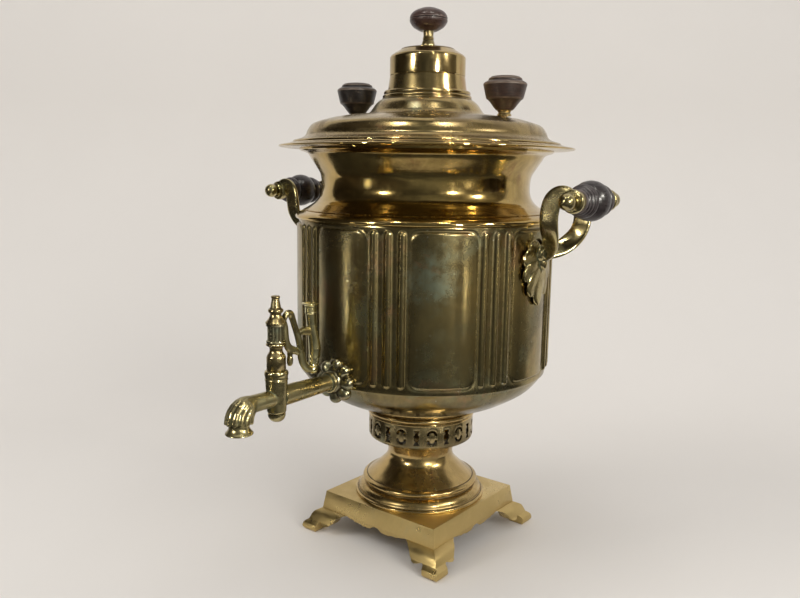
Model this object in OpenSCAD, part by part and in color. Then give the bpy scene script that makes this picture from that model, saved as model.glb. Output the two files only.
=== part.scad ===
// Charcoal samovar. A fluted urn with a central fire tube stands on a pierced
// gallery, a bell-shaped pedestal and a square tray with four bracket feet.
// It has a plug tap at the front (-Y), a handle on each side (+X and -X),
// a lift-off lid with two knobs, and a lift-off cap on the chimney.

/* [Tray and feet] */
// Height of the feet, ground to skirt
foot_h = 19.5; // [17:0.5:26]
// Reach of a foot's toe past the edge of the tray's top
toe_reach = 15.7; // [12:0.1:18]
// Width of the tray across its flat top
tray_w = 121; // [118:1:136]
// Depth of the tray's skirt between top and feet
skirt_h = 16; // [12:0.5:24]
// How far the skirt leans out on each side
skirt_flare = 2.4; // [1:0.1:4]
// Wall of the cast tray
tray_wall = 2.4; // [1.6:0.1:3]

/* [Pedestal and gallery] */
// Height of the pedestal
pedestal_h = 53; // [46:1:70]
// Radius of the pedestal's base flange
pedestal_foot_r = 58.4; // [54:0.2:60]
// Radius of the pedestal's waist
pedestal_waist_r = 29.3; // [26:0.1:33]
// Height of the pierced gallery
gallery_h = 21; // [18:0.5:28]
// Radius of the pierced gallery
gallery_r = 47; // [43:0.5:50]
// Number of slots round the gallery, with as many broken rings between them
gallery_slots = 11; // [7:1:13]
// Height of the collar under the body
collar_h = 12.8; // [10:0.2:18]

/* [Body] */
// Sheet thickness of the body, neck, lid and pedestal
sheet = 1.4; // [1.0:0.1:1.8]
// Radius of the body's wall between its flutes
body_r = 109; // [100:1:120]
// Height of the body's wall from its bottom to the shoulder
body_h = 161.7; // [145:1:190]
// How far the wide panels stand proud
panel_rise = 1.6; // [0.8:0.1:2.4]
// How far the narrow reeds stand proud
reed_rise = 1.9; // [1:0.1:2.6]
// Number of wide panels, each with three reeds beside it
panels = 8; // [8:4:8]
// Radius of the neck's waist
neck_r = 89.5; // [86:0.5:94]
// Height of the neck
neck_h = 58.4; // [50:1:70]
// Radius of the rim round the mouth
rim_r = 125.8; // [120:0.5:132]
// Thickness of the rim from the neck to the lid's seat
rim_h = 4.8; // [3.8:0.1:7]

/* [Fire tube] */
// Outside radius of the fire tube where the charcoal burns
fire_r = 36; // [33:0.5:39]
// Outside radius of the fire tube's upper part
flue_r = 26; // [23:0.5:28]
// Wall of the fire tube
fire_wall = 1.6; // [1.2:0.1:2.4]
// Radius of the chimney's sleeve at its top
sleeve_r = 32; // [31:0.1:32.8]
// Height of the chimney's mouth above the lid's seat
chimney_h = 56.8; // [54:0.5:66]

/* [Lid] */
// Width of the rim that shows outside the lid's flange
lid_inset = 11.8; // [9:0.1:15]
// Height of the lid's shoulder above its seat
lid_h = 23.8; // [21:0.5:28]
// Radius of the hole in the lid's collar
lid_hole_r = 34.6; // [34.4:0.1:36]
// Height of the lid's collar above its seat
lid_collar_h = 44.3; // [42:0.5:48]
// Distance of each lid knob outwards from the middle of the lid's shoulder
knob_shift = 3; // [-1:0.5:8]
// Turn of the lid, from the handles' line to the knobs' line
lid_turn = 9; // [0:1:40]
// Radius of a lid knob
knob_r = 17.7; // [15:0.1:19]
// Height of a lid knob's wooden part
knob_h = 27.5; // [24:0.5:32]

/* [Cap] */
// Radius of the chimney cap
cap_r = 32.1; // [31.5:0.1:33]
// Height of the chimney cap without its stem
cap_h = 24.5; // [21:0.5:30]
// Radius of the wooden knob on the cap
cap_knob_r = 16; // [14:0.5:18]
// Height of the wooden knob on the cap
cap_knob_h = 19; // [16:0.5:24]
// Length of the stem that shows between cap and knob
cap_stem_h = 12.5; // [9:0.2:18]

/* [Handles] */
// Distance of each grip's axis from the body's wall
grip_out = 45.6; // [42:0.2:52]
// Height of the grip's axis above the body's shoulder
grip_up = 20.5; // [16:0.5:26]
// Length of a wooden grip
grip_len = 46; // [42:1:52]
// Radius of a wooden grip at its middle
grip_r = 15.3; // [13:0.1:17]
// Radius of the rod through a grip
rod_r = 2.5; // [2:0.1:3]
// Thickness of the bracket's eye round the rod
eye_t = 5; // [4:0.2:6]
// Radius of the ball nuts
ball_r = 6.2; // [5:0.1:7]

/* [Tap] */
// Height of the tap's pipe above the body's bottom
tap_up = 38.7; // [36:0.5:46]
// Distance from the body's wall to the axis of the tap's plug
plug_out = 66; // [62:0.5:74]
// Distance from the plug's axis to the spout's axis
spout_out = 35; // [32:0.5:44]
// Radius of the pipe where it leaves the rosette
pipe_r = 6.4; // [5.6:0.1:7]
// Radius of the water way
water_r = 3.8; // [3:0.1:4.4]
// Radius of the tap's barrel
barrel_r = 8.7; // [8:0.1:10]
// Radius of the plug at the top of the barrel
plug_r = 6.1; // [5.6:0.1:6.6]
// Distance from the plug's axis to the key's grip
key_reach = 37; // [34:0.5:44]

/* [Hidden] */
$fn = 64;
fit_gap = 0.05;    // radial clearance of a running or sliding fit
seat_gap = 0.1;    // gap between a cast piece and the curved wall it sits on

// Heights of the stack, from the ground up
skirt_z = foot_h;
tray_z = skirt_z + skirt_h;
gallery_z = tray_z + pedestal_h;
collar_z = gallery_z + gallery_h;
body_z = collar_z + collar_h;
shoulder_z = body_z + body_h;
mouth_z = shoulder_z + neck_h;
seat_z = mouth_z + rim_h;
chimney_z = seat_z + chimney_h;

// ---- Outlines ----------------------------------------------------------------

// Point at share t of the stretch b-c of a curve through a, b, c and d
function curve_point(a, b, c, d, t) =
    0.5 * (2 * b + (c - a) * t + (2 * a - 5 * b + 4 * c - d) * t * t
    + (3 * b - a - 3 * c + d) * t * t * t);

// Smooth curve through the points p, with n steps between neighbours
function smooth(p, n = 3) = concat(
    [for (i = [0 : len(p) - 2], k = [0 : n - 1])
        curve_point(p[max(i - 1, 0)], p[i], p[i + 1], p[min(i + 2, len(p) - 1)], k / n)],
    [p[len(p) - 1]]);

// Unit vector square to the path p at its point i, on the left of its direction
function left_of(p, i) =
    let (d = p[min(i + 1, len(p) - 1)] - p[max(i - 1, 0)])
    [-d[1], d[0]] / norm(d);

// Closed outline between the path p and the same path moved t to its left, cut off level with p's ends
function thickened(p, t) =
    let (low = min(p[0][1], p[len(p) - 1][1]), high = max(p[0][1], p[len(p) - 1][1]))
    concat(p, [for (i = [len(p) - 1 : -1 : 0]) let (q = p[i] + t * left_of(p, i))
        [q[0], max(low, min(high, q[1]))]]);

// Closed outline of half width w on both sides of the path p
function ribbon(p, w) = concat(
    [for (i = [0 : len(p) - 1]) p[i] - w * left_of(p, i)],
    [for (i = [len(p) - 1 : -1 : 0]) p[i] + w * left_of(p, i)]);

module turned(outline) rotate_extrude() polygon(outline);

// Solid of revolution about the Y axis through height z, running towards -Y
module turned_forward(outline, z) translate([0, 0, z]) rotate([90, 0, 0]) turned(outline);

// Cylinder from y0 towards -Y
module bar_forward(r, y0, len, z) translate([0, y0, z]) rotate([90, 0, 0]) cylinder(r = r, h = len);

// ---- Feet and tray -------------------------------------------------------------

half_top = tray_w / 2;
skirt_out = half_top + skirt_flare;          // half width of the skirt at its lower edge
skirt_drop = 3.5;                            // how far the apron's lobes hang below the feet's tops
foot_wing = 29;                              // length of a foot's wing along the skirt

// Outline of a bracket foot, seen square to one side: across from the axis, and up
foot_side = let (c = skirt_out, t = half_top + toe_reach) [
    [c - foot_wing, foot_h], [c - 25, foot_h - 1.4], [c - 20, foot_h - 5], [c - 16, foot_h - 9.5],
    [c - 14, foot_h - 11.4], [c - 10, foot_h - 11.2], [t - 18.5, foot_h - 10], [t - 16.2, foot_h - 13],
    [t - 15.6, 2], [t - 14.6, 0], [t - 1.2, 0], [t, 3.6], [t - 0.7, 6.8], [t - 2.7, foot_h - 11.2],
    [t - 4.5, foot_h - 9.8], [t - 5.6, foot_h - 8], [t - 6.4, foot_h - 5], [t - 9, foot_h - 1.6],
    [c - 0.3, foot_h]
];

// One foot, in the corner of +X and +Y
module foot() {
    big = half_top + toe_reach + 1;
    hollow = skirt_out - 3.4;
    color("darkgoldenrod") difference() {
        intersection() {
            translate([0, big, 0]) rotate([90, 0, 0]) linear_extrude(big) polygon(foot_side);
            rotate([90, 0, 90]) linear_extrude(big) polygon(foot_side);
        }
        translate([0, 0, foot_h - 12.5]) cube([hollow, hollow, foot_h]);
    }
}
module foot_back_right() foot();
module foot_back_left() rotate([0, 0, 90]) foot();
module foot_front_left() rotate([0, 0, 180]) foot();
module foot_front_right() rotate([0, 0, 270]) foot();

// Half of the apron's lower edge, from the middle of a side: across, and up from the feet's tops
apron_half = smooth([[0, -0.4], [2.5, -0.7], [6, -2.4], [10, -skirt_drop], [16, -skirt_drop],
    [23, -2.4], [29, -1.2], [skirt_out - foot_wing + 1.5, 0]], 2);

// Lobed apron that hangs below the skirt on the side facing +Y
module apron() {
    edge = concat(
        [for (i = [len(apron_half) - 1 : -1 : 1]) [-apron_half[i][0], apron_half[i][1]]], apron_half);
    end = skirt_out - foot_wing;
    translate([0, skirt_out - 0.3, skirt_z]) rotate([90, 0, 0]) linear_extrude(tray_wall - 0.6)
        polygon(concat(edge, [[end, 1], [-end, 1]]));
}

// Square pyramid stub of half widths a and b, from z0 up to z1
module square_stub(a, b, z0, z1) {
    translate([0, 0, z0]) rotate([0, 0, 45])
        cylinder(r1 = a * sqrt(2), r2 = b * sqrt(2), h = z1 - z0, $fn = 4);
}

tray_hole_r = pedestal_waist_r - 4;
module tray() {
    lean = skirt_flare / skirt_h;              // outward lean of the skirt for each mm down
    color("darkgoldenrod") union() {
        difference() {
            square_stub(skirt_out, half_top, skirt_z, tray_z);
            square_stub(skirt_out + lean - tray_wall, half_top + lean * tray_wall - tray_wall,
                skirt_z - 1, tray_z - tray_wall);
            translate([0, 0, tray_z - tray_wall - 1]) cylinder(r = tray_hole_r, h = tray_wall + 2);
        }
        for (i = [0 : 3]) rotate([0, 0, i * 90]) apron();
    }
}

// ---- Pedestal, gallery and collar ----------------------------------------------

pedestal_wall = 2;
module pedestal() {
    f = pedestal_foot_r;
    w = pedestal_waist_r;
    z = tray_z;
    h = pedestal_h;
    outside = concat(
        [[f, z], [f, z + 2.6], [f - 2, z + 3.6]],
        smooth([[f - 2.6, z + 4.4], [f - 4.2, z + 7.4], [f - 8, z + 9.8]], 3),
        smooth([[f - 9, z + 11], [f - 6.4, z + 13], [f - 6.2, z + 14.8], [f - 8.4, z + 16.4]], 3),
        smooth([[f - 11, z + 17.6], [w + 0.42 * (f - w), z + 22], [w + 6.6, z + 27], [w + 1.6, z + 32.6],
            [w, z + 38.4], [w + 1.2, z + 43.4], [w + 4.4, gallery_z - 2.5], [w + 6.7, gallery_z]], 3));
    color("goldenrod") turned(thickened(outside, pedestal_wall));
}

motif_h = 13.6;      // height of the gallery's piercings
motif_w = 9.4;       // width of the broken rings
slot_w = 5.6;        // width of the slots

// Broken ring: an upper and a lower crescent
module crescents() {
    bar = 3.2;
    difference() {
        union() {
            translate([0, motif_h / 2 - motif_w / 2]) circle(d = motif_w);
            translate([0, motif_w / 2 - motif_h / 2]) circle(d = motif_w);
            square([motif_w, motif_h - motif_w], center = true);
        }
        translate([0, 1.6]) circle(r = motif_w / 4);
        translate([0, -1.6]) circle(r = motif_w / 4);
        square([motif_w / 2, 3], center = true);
        square([motif_w + 2, bar], center = true);
    }
}

// Upright slot with a notched, bow-tie outline
slot_half = [[slot_w / 2, motif_h / 2], [1.1, motif_h / 2 - 3], [1.8, 1.8], [slot_w / 2, 1.2]];
module notched_slot() {
    right = concat(slot_half, [for (i = [3 : -1 : 0]) [slot_half[i][0], -slot_half[i][1]]]);
    polygon(concat(right, [for (i = [7 : -1 : 0]) [-right[i][0], right[i][1]]]));
}

gallery_wall = 1.8;
module gallery_ring() {
    r = gallery_r;
    lip_r = pedestal_waist_r + 1;
    step = 360 / gallery_slots;
    color("goldenrod") difference() {
        turned([[lip_r, gallery_z], [r - 3, gallery_z], [r, gallery_z + 2.6], [r, collar_z],
            [r - gallery_wall, collar_z], [r - gallery_wall, gallery_z + gallery_wall],
            [lip_r, gallery_z + gallery_wall]]);
        for (i = [0 : gallery_slots - 1]) {
            rotate([0, 0, i * step]) pierce() notched_slot();
            rotate([0, 0, (i + 0.5) * step]) pierce() crescents();
        }
    }
}

// Cuts the 2-D child through the gallery's wall, on the side facing -Y
module pierce() {
    translate([0, -gallery_r + 4, gallery_z + gallery_h / 2 + 0.6]) rotate([90, 0, 0])
        linear_extrude(6) children();
}

collar_top_r = gallery_r + 10;      // where the body's flat bottom rests
module neck_collar() {
    g = gallery_r;
    z = collar_z;
    top = body_z;
    outside = concat(
        [[g - gallery_wall, z], [g + 0.6, z], [g + 0.6, z + 1.6], [g + 0.1, z + 2]],
        smooth([[g + 0.3, z + 2.4], [g + 2.2, z + 3.4], [g + 2.2, z + 5.6], [g + 0.8, z + 6.6]], 2),
        smooth([[g + 1.6, z + 7], [g + 5.4, top - 3.6], [g + 8, top - 2]], 3),
        [[collar_top_r, top - 1.4], [collar_top_r, top]]);
    color("goldenrod") turned(concat(outside,
        [[g + 2, top], [g - 1.8, z + 6.6], [g - gallery_wall, z + 2.5]]));
}

// ---- Body -------------------------------------------------------------------------

floor_inner_r = fire_r + fit_gap;
wall_foot_r = collar_top_r - 8;      // inner edge of the wall's flat bottom flange
round_h = 36.4;                      // height over which the bottom rounds into the wall
flute_z0 = body_z + round_h;         // lower end of the flutes
flute_z1 = shoulder_z - 3;           // upper end of the flutes

// Outside of the wall without its flutes, from the bottom flange up to the shoulder
wall_side = concat(
    [[wall_foot_r, body_z], [collar_top_r, body_z]],
    smooth([[collar_top_r + 3, body_z + 0.9], [body_r - 38, body_z + 4], [body_r - 28, body_z + 8.6],
        [body_r - 13.4, body_z + 17.6], [body_r - 5.7, body_z + 25.6], [body_r - 2.4, body_z + 31],
        [body_r, body_z + round_h]], 2),
    [[body_r, shoulder_z]]);

// A wide panel is a slice of a round column, flatter than the wall itself
panel_angle = 13.75 * 8 / panels;                   // half the angle that a panel spans
panel_lift = body_r + panel_rise;
panel_curve_r = 0.64 * body_r;                      // radius of the panel's own curve
panel_at = panel_lift - panel_curve_r;
reed_step = (360 / panels - 2 * panel_angle) / 3;   // angle between neighbouring reeds
reed_r = 0.024 * body_r;
reed_at = body_r + reed_rise - reed_r;

// Panels: crescents of round columns, sunk half the sheet's thickness into the wall
module flutes() {
    for (i = [0 : panels - 1]) rotate([0, 0, i * 360 / panels]) difference() {
        translate([panel_at, 0, flute_z0]) cylinder(r = panel_curve_r, h = flute_z1 - flute_z0);
        translate([0, 0, flute_z0 - 1]) cylinder(r = body_r - sheet / 2, h = flute_z1 - flute_z0 + 2);
    }
}

tap_z = body_z + tap_up;
shank_r = pipe_r + 0.4;
rivet_r = 2;
rivet_hole_r = rivet_r + fit_gap;

// Reeds: round ribs in the gaps between the panels
module reeds() {
    for (i = [0 : panels - 1], k = [-1 : 1]) rotate([0, 0, (i + 0.5) * 360 / panels + k * reed_step])
        translate([reed_at, 0, flute_z0 + 1]) cylinder(r = reed_r, h = flute_z1 - flute_z0 - 2);
}

module body_wall() {
    last = len(wall_side) - 1;
    inside = [for (i = [last - 1 : -1 : 2]) wall_side[i] + sheet * left_of(wall_side, i)];
    color("darkgoldenrod") difference() {
        union() {
            turned(concat(wall_side, [[body_r - sheet, shoulder_z]], inside,
                [[collar_top_r - 1, body_z + sheet], [wall_foot_r, body_z + sheet]]));
            flutes();
            reeds();
        }
        translate([0, 0, flute_z0 + 0.5]) cylinder(r = body_r - sheet + 0.2, h = body_h);
        bar_forward(shank_r + seat_gap, -body_r + 12, 20, tap_z);
        bracket_rivet_holes();
    }
}

mouth_r = rim_r - 17.4;       // outside radius of the neck's flared mouth
lid_r = rim_r - lid_inset;    // radius of the lid's flange, which lies inside the rim
module body_neck() {
    s = body_r + 3;
    z = shoulder_z;
    h = neck_h;
    n = neck_r;
    side = smooth([[s - 2, z + 2.4], [s - 6.2, z + 4], [n + 10, z + 7.2], [n + 3.3, z + 13.5],
        [n + 0.6, z + 19.5], [n, z + 26], [n + 0.9, z + h - 22], [n + 4.2, z + h - 15.6],
        [n + 9, z + h - 8.4], [mouth_r - 7, z + h - 4]], 2);
    last = len(side) - 1;
    inside = [for (i = [last : -1 : 0]) side[i] + sheet * left_of(side, i)];
    color("goldenrod") turned(concat(
        [[s - 5, z], [s, z], [s - 0.6, z + 1.6]], side, [[mouth_r, mouth_z - 1.4], [mouth_r, mouth_z],
        [mouth_r - 9, mouth_z]], inside));
}

// Flat ring between two radii
module ring(inner, outer, h) {
    difference() {
        cylinder(r = outer, h = h);
        translate([0, 0, -1]) cylinder(r = inner, h = h + 2);
    }
}

mouth_bore_r = lid_r - 14.5;      // clear radius of the mouth, inside the rim
module top_rim() {
    z = mouth_z;
    color("goldenrod") turned([
        [mouth_bore_r, z], [mouth_r + 3, z], [rim_r - 2, z + 0.9], [rim_r, z + 1.6], [rim_r, z + 2.4],
        [rim_r - 2.4, z + 3], [lid_r + 2.5, z + rim_h - 0.6], [lid_r + 1, z + rim_h],
        [mouth_bore_r, z + rim_h]]);
}

module tank_floor() {
    color("goldenrod") translate([0, 0, body_z + sheet]) ring(floor_inner_r, collar_top_r - 2, 2);
}

// ---- Fire tube, grate and chimney ---------------------------------------------------

fire_foot_z = collar_z + 2.5;
flue_start = 0.62;      // share of the tube's height where the flue's straight part begins
module fire_tube() {
    h = chimney_z - fire_foot_z;
    outside = concat([[fire_r, fire_foot_z], [fire_r, fire_foot_z + 0.3 * h]],
        smooth([[fire_r, fire_foot_z + 0.34 * h], [0.5 * (fire_r + flue_r), fire_foot_z + 0.48 * h],
            [flue_r, fire_foot_z + flue_start * h]], 3),
        [[flue_r, chimney_z + 4]]);
    color("dimgray") difference() {
        union() {
            turned(thickened(outside, fire_wall));
            translate([0, 0, fire_foot_z]) ring(fire_r - fire_wall - 4, fire_r - 0.5, 1.8);
        }
    }
}

grate_t = 4;
bar_w = 4;
module fire_grate() {
    r = fire_r - fire_wall - 0.5;
    pitch = 2.1 * bar_w;
    color("dimgray") translate([0, 0, fire_foot_z + 1.8]) difference() {
        cylinder(r = r, h = grate_t);
        for (i = [-3 : 3])
            let (x = i * pitch, half = sqrt(max(0, pow(r - 5, 2) - x * x)))
            if (half > 3) translate([x - bar_w / 2, -half, -1]) cube([bar_w, 2 * half, grate_t + 2]);
    }
}

sleeve_foot_r = 34;      // radius at the sleeve's foot, inside the lid's collar
module chimney_sleeve() {
    z = seat_z + lid_collar_h - 6;
    outside = smooth([[sleeve_foot_r, z], [sleeve_foot_r - 0.3, z + 5],
        [sleeve_r + 0.5, chimney_z - 6], [sleeve_r, chimney_z]], 2);
    color("goldenrod") union() {
        turned(thickened(outside, sheet));
        translate([0, 0, chimney_z - 1.8]) ring(flue_r + fit_gap, sleeve_r - 0.6, 1.8);
    }
}

// ---- Handles --------------------------------------------------------------------------

grip_x = body_r + grip_out;
grip_z = shoulder_z + grip_up;
ferrule_t = 3;
washer_t = 2;
eye_y = grip_len / 2 + ferrule_t;       // inner face of an eye
eye_r = 8.8;
ball_y = eye_y + eye_t + washer_t + ball_r - 0.8;
rod_hole_r = rod_r + fit_gap;
hub_z = shoulder_z - 21;                // height where the two arms spring from the leaf
leaf_h = 52;                            // height of the leaf on the wall
leaf_w = 22;                            // half width of the leaf
leaf_t = 4.2;                           // thickness of the leaf

// Path of an arm seen from the side: out from the wall's axis, and up
arm_side = smooth([[body_r + 8, hub_z - 1], [body_r + 17, hub_z + 1.5], [grip_x - 23, hub_z + 8],
    [grip_x - 19.6, hub_z + 17], [grip_x - 19.2, grip_z - 11], [grip_x - 17.4, grip_z - 1],
    [grip_x - 11.4, grip_z + 4.8], [grip_x - 5, grip_z + 3.6], [grip_x, grip_z]], 2);
// Path of an arm seen from outside: along Y, and up
arm_front = let (y = eye_y + eye_t / 2) smooth([[-2, hub_z - 0.5], [6, hub_z + 0.5], [0.52 * y, hub_z + 5],
    [0.8 * y, hub_z + 12], [y - 1, hub_z + 21], [y, hub_z + 30]], 2);

// Upright stretch of an arm's outline, seen from outside, above its curved foot
module arm_outline() {
    y = eye_y + eye_t / 2;
    polygon(ribbon(arm_front, eye_t / 2));
    translate([y - eye_t / 2, hub_z + 29.9]) square([eye_t, grip_z - hub_z]);
}

module arm() {
    intersection() {
        rotate([90, 0, 90]) linear_extrude(grip_x + 20) arm_outline();
        translate([0, 60, 0]) rotate([90, 0, 0]) linear_extrude(80) polygon(ribbon(arm_side, 6.2));
    }
    translate([grip_x, eye_y + eye_t, grip_z]) rotate([90, 0, 0]) cylinder(r = eye_r, h = eye_t);
}

// Leaf outline seen from outside: lobed, with its tip down
leaf_lobes = [[0, -leaf_h], [0.24, -42], [0.2, -38], [0.62, -37], [0.72, -31], [0.52, -27], [0.9, -25],
    [1, -18], [0.74, -14.5], [1, -10], [0.92, -3], [0.6, 0.5], [0.35, 2.5], [0, 3]];
module leaf_outline() {
    right = smooth([for (p = leaf_lobes) [p[0] * leaf_w, p[1]]], 2);
    polygon(concat(right, [for (i = [len(right) - 2 : -1 : 1]) [-right[i][0], right[i][1]]]));
}

// Solid between the panel's face and the same face moved out by t
module over_panel(t) {
    difference() {
        translate([panel_at, 0, hub_z - leaf_h - 5]) cylinder(r = panel_curve_r + t, h = leaf_h + 20);
        translate([panel_at, 0, hub_z - leaf_h - 6]) cylinder(r = panel_curve_r + seat_gap, h = leaf_h + 22);
    }
}

rivet_ups = [-9, -30];      // heights of the rivets from the hub
module bracket_rivet_holes() {
    for (side = [0, 1], u = rivet_ups) mirror([side, 0, 0])
        translate([body_r - 10, 0, hub_z + u]) rotate([0, 90, 0]) cylinder(r = rivet_hole_r, h = 16);
}

module handle_bracket_right() {
    color("darkgoldenrod") difference() {
        union() {
            intersection() {
                rotate([90, 0, 90]) linear_extrude(body_r + 20) translate([0, hub_z + 8]) leaf_outline();
                over_panel(leaf_t);
            }
            difference() {
                union() {
                    translate([body_r + 4, 0, hub_z - 1]) rotate([0, 90, 0])
                        cylinder(r1 = 9, r2 = 5.6, h = 11);
                    translate([body_r + 9, 0, hub_z - 8]) sphere(r = 5.4);
                    arm();
                    mirror([0, 1, 0]) arm();
                }
                translate([panel_at, 0, hub_z - leaf_h]) cylinder(r = panel_curve_r + 1, h = 2 * leaf_h);
            }
        }
        translate([grip_x, grip_len, grip_z]) rotate([90, 0, 0]) cylinder(r = rod_hole_r, h = 2 * grip_len);
        bracket_rivet_holes();
    }
}
module handle_bracket_left() mirror([1, 0, 0]) handle_bracket_right();

// Rivets: head inside the body, shank through wall and leaf, riveted blind in the casting
module bracket_rivets() {
    inner = body_r - sheet;
    color("goldenrod") for (side = [0, 1], u = rivet_ups) mirror([side, 0, 0])
        translate([0, 0, hub_z + u]) rotate([0, 90, 0]) {
            translate([0, 0, inner - 1.5]) cylinder(r = 3.6, h = 1.4);
            translate([0, 0, inner - 1]) cylinder(r = rivet_r, h = sheet + panel_rise + 2.5);
        }
}

module rod_right() {
    translate([grip_x, ball_y, grip_z]) rotate([90, 0, 0]) cylinder(r = rod_r, h = 2 * ball_y);
}
module handle_rod_right() color("goldenrod") rod_right();
module handle_rod_left() color("goldenrod") mirror([1, 0, 0]) rod_right();

// Half of the grip's turned outline: along the rod from the middle, and its radius
function grip_half() = let (l = grip_len / 2, r = grip_r) concat(
    smooth([[0, r], [0.17 * l, r - 0.5], [0.33 * l, r - 2.4], [0.41 * l, r - 4.3]], 3),
    smooth([[0.44 * l, r - 4.1], [0.56 * l, r - 3], [0.7 * l, r - 3.2], [0.82 * l, r - 5.4]], 3),
    [[0.84 * l, r - 5.7], [0.9 * l, r - 5.5], [l, r - 6.8]]);

module grip_right() {
    half = grip_half();
    outline = concat([for (i = [len(half) - 1 : -1 : 1]) [half[i][1], -half[i][0]]],
        [for (p = half) [p[1], p[0]]]);
    l = grip_len / 2;
    translate([grip_x, 0, grip_z]) rotate([90, 0, 0])
        turned(concat([[rod_hole_r, -l]], outline, [[rod_hole_r, l]]));
}
module handle_grip_right() color("black") grip_right();
module handle_grip_left() color("black") mirror([1, 0, 0]) grip_right();

// Places its children at both ends of both rods, with +Z running outwards along the rod
module at_rod_ends(from) {
    for (sx = [0, 1], sy = [0, 1]) mirror([sx, 0, 0]) mirror([0, sy, 0])
        translate([grip_x, from, grip_z]) rotate([-90, 0, 0]) children();
}

module grip_ferrules() color("goldenrod") at_rod_ends(grip_len / 2)
    turned([[rod_hole_r, 0], [7.4, 0], [8, 0.8], [8, ferrule_t - 0.8], [7.2, ferrule_t],
        [rod_hole_r, ferrule_t]]);
module rod_washers() color("goldenrod") at_rod_ends(eye_y + eye_t) ring(rod_hole_r, 6.4, washer_t);
module ball_nuts() color("goldenrod") at_rod_ends(eye_y + eye_t + washer_t) difference() {
    translate([0, 0, ball_r - 0.8]) sphere(r = ball_r);
    translate([0, 0, -ball_r]) cylinder(r = ball_r + 1, h = ball_r);
    translate([0, 0, -1]) cylinder(r = rod_hole_r, h = ball_r + 0.2 + fit_gap);
}

// ---- Tap ---------------------------------------------------------------------------------

plug_y = -(body_r + plug_out);
spout_y = plug_y - spout_out;
rosette_r = 11.4;              // radius of the ring of lobes
lobe_r = 6;
rosette_lobes = 8;
rosette_t = 9;                 // how far the rosette stands out of the wall
rosette_y = -(panel_lift - 2);
barrel_top = tap_z + 20.4;
barrel_low = tap_z - 11.5;
plug_taper = 0.026;            // loss of radius for each mm down
function plug_r_at(z) = plug_r - plug_taper * (barrel_top - z);

module tap_rosette() {
    color("darkgoldenrod") difference() {
        union() {
            translate([0, 0, tap_z]) {
                for (i = [0 : rosette_lobes - 1]) rotate([0, i * 360 / rosette_lobes, 0])
                    translate([rosette_r, rosette_y - 2.2, 0]) sphere(r = lobe_r);
            }
            turned_forward([[0, -rosette_y], [rosette_r, -rosette_y], [rosette_r + 2, 3 - rosette_y],
                [rosette_r - 1, rosette_t - 2.5 - rosette_y], [pipe_r + 1.6, rosette_t - rosette_y],
                [0, rosette_t - rosette_y]], tap_z);
        }
        rotate([0, 0, -90]) translate([panel_at, 0, tap_z - 30])
            cylinder(r = panel_curve_r + seat_gap, h = 60);
        bar_forward(shank_r + fit_gap, -body_r + 20, 60, tap_z);
    }
}

shank_y = body_r - sheet - 9;             // inner end of the shank, inside the tank
module tap_body() {
    color("darkkhaki") difference() {
        union() {
            turned_forward([[0, shank_y], [shank_r, shank_y], [shank_r, panel_lift + rosette_t - 1],
                [pipe_r, panel_lift + rosette_t + 1], [pipe_r + 1.2, -plug_y - 4], [0, -plug_y - 4]], tap_z);
            translate([0, plug_y, 0]) turned([[0, barrel_low], [barrel_r - 1.6, barrel_low],
                [barrel_r - 0.2, tap_z + 11], [barrel_r, tap_z + 12],
                [barrel_r, barrel_top - 3], [barrel_r - 0.8, barrel_top - 2.2],
                [barrel_r - 0.3, barrel_top - 1.2], [barrel_r - 0.9, barrel_top], [0, barrel_top]]);
            bar_forward(pipe_r - 0.4, plug_y, spout_out, tap_z);
            spout_bulb();
        }
        translate([0, plug_y, barrel_low - 1]) cylinder(r1 = plug_r_at(barrel_low - 1) + fit_gap,
            r2 = plug_r_at(barrel_top + 1) + fit_gap, h = barrel_top - barrel_low + 2);
        bar_forward(water_r, 1 - shank_y, -spout_y - shank_y + 1, tap_z);
        translate([0, spout_y, lip_z - 1]) cylinder(r = water_r + 1, h = tap_z - lip_z + water_r + 2.2);
    }
}

lip_z = tap_z - 18.6;
module spout_bulb() {
    translate([0, spout_y, 0]) turned(concat(
        [[0, lip_z], [11.2, lip_z], [11.8, lip_z + 0.8]],
        smooth([[11.2, lip_z + 1.8], [9, lip_z + 3.6], [8.4, lip_z + 5.4], [9.4, lip_z + 6.6]], 2),
        smooth([[9.2, lip_z + 7.4], [11.4, tap_z - 6], [11.9, tap_z - 1], [10.2, tap_z + 3.4],
            [6, tap_z + 6.4], [0, tap_z + 7.4]], 3)));
}

// ---- Tap key: the parts that turn with the plug ---------------------------------------------

drum_z0 = barrel_top + 20.6;
drum_z1 = drum_z0 + 13.4;
spigot_r = 3.2;
tail_r = 2.4;
tail_z = barrel_low - 5;
module tap_plug() {
    b = barrel_top;
    color("darkgoldenrod") difference() {
        union() {
            translate([0, plug_y, 0]) turned(concat(
                [[0, tail_z], [tail_r, tail_z], [tail_r, barrel_low], [plug_r_at(barrel_low), barrel_low],
                    [plug_r_at(b), b], [plug_r_at(b), b + 0.3], [barrel_r - 1.8, b + 0.3],
                    [barrel_r - 1.7, b + 9.5]],
                smooth([[barrel_r - 2, b + 11.6], [barrel_r - 3.8, b + 15.6], [barrel_r - 3.8, b + 17.4]], 2),
                [[barrel_r - 1.6, b + 18.6], [barrel_r - 1.4, b + 19.8], [barrel_r - 2.2, drum_z0],
                    [spigot_r, drum_z0], [spigot_r, drum_z1 + 6], [0, drum_z1 + 6]]));
        }
        translate([-20, plug_y, tap_z]) rotate([0, 90, 0]) cylinder(r = water_r, h = 40);
    }
}

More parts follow.
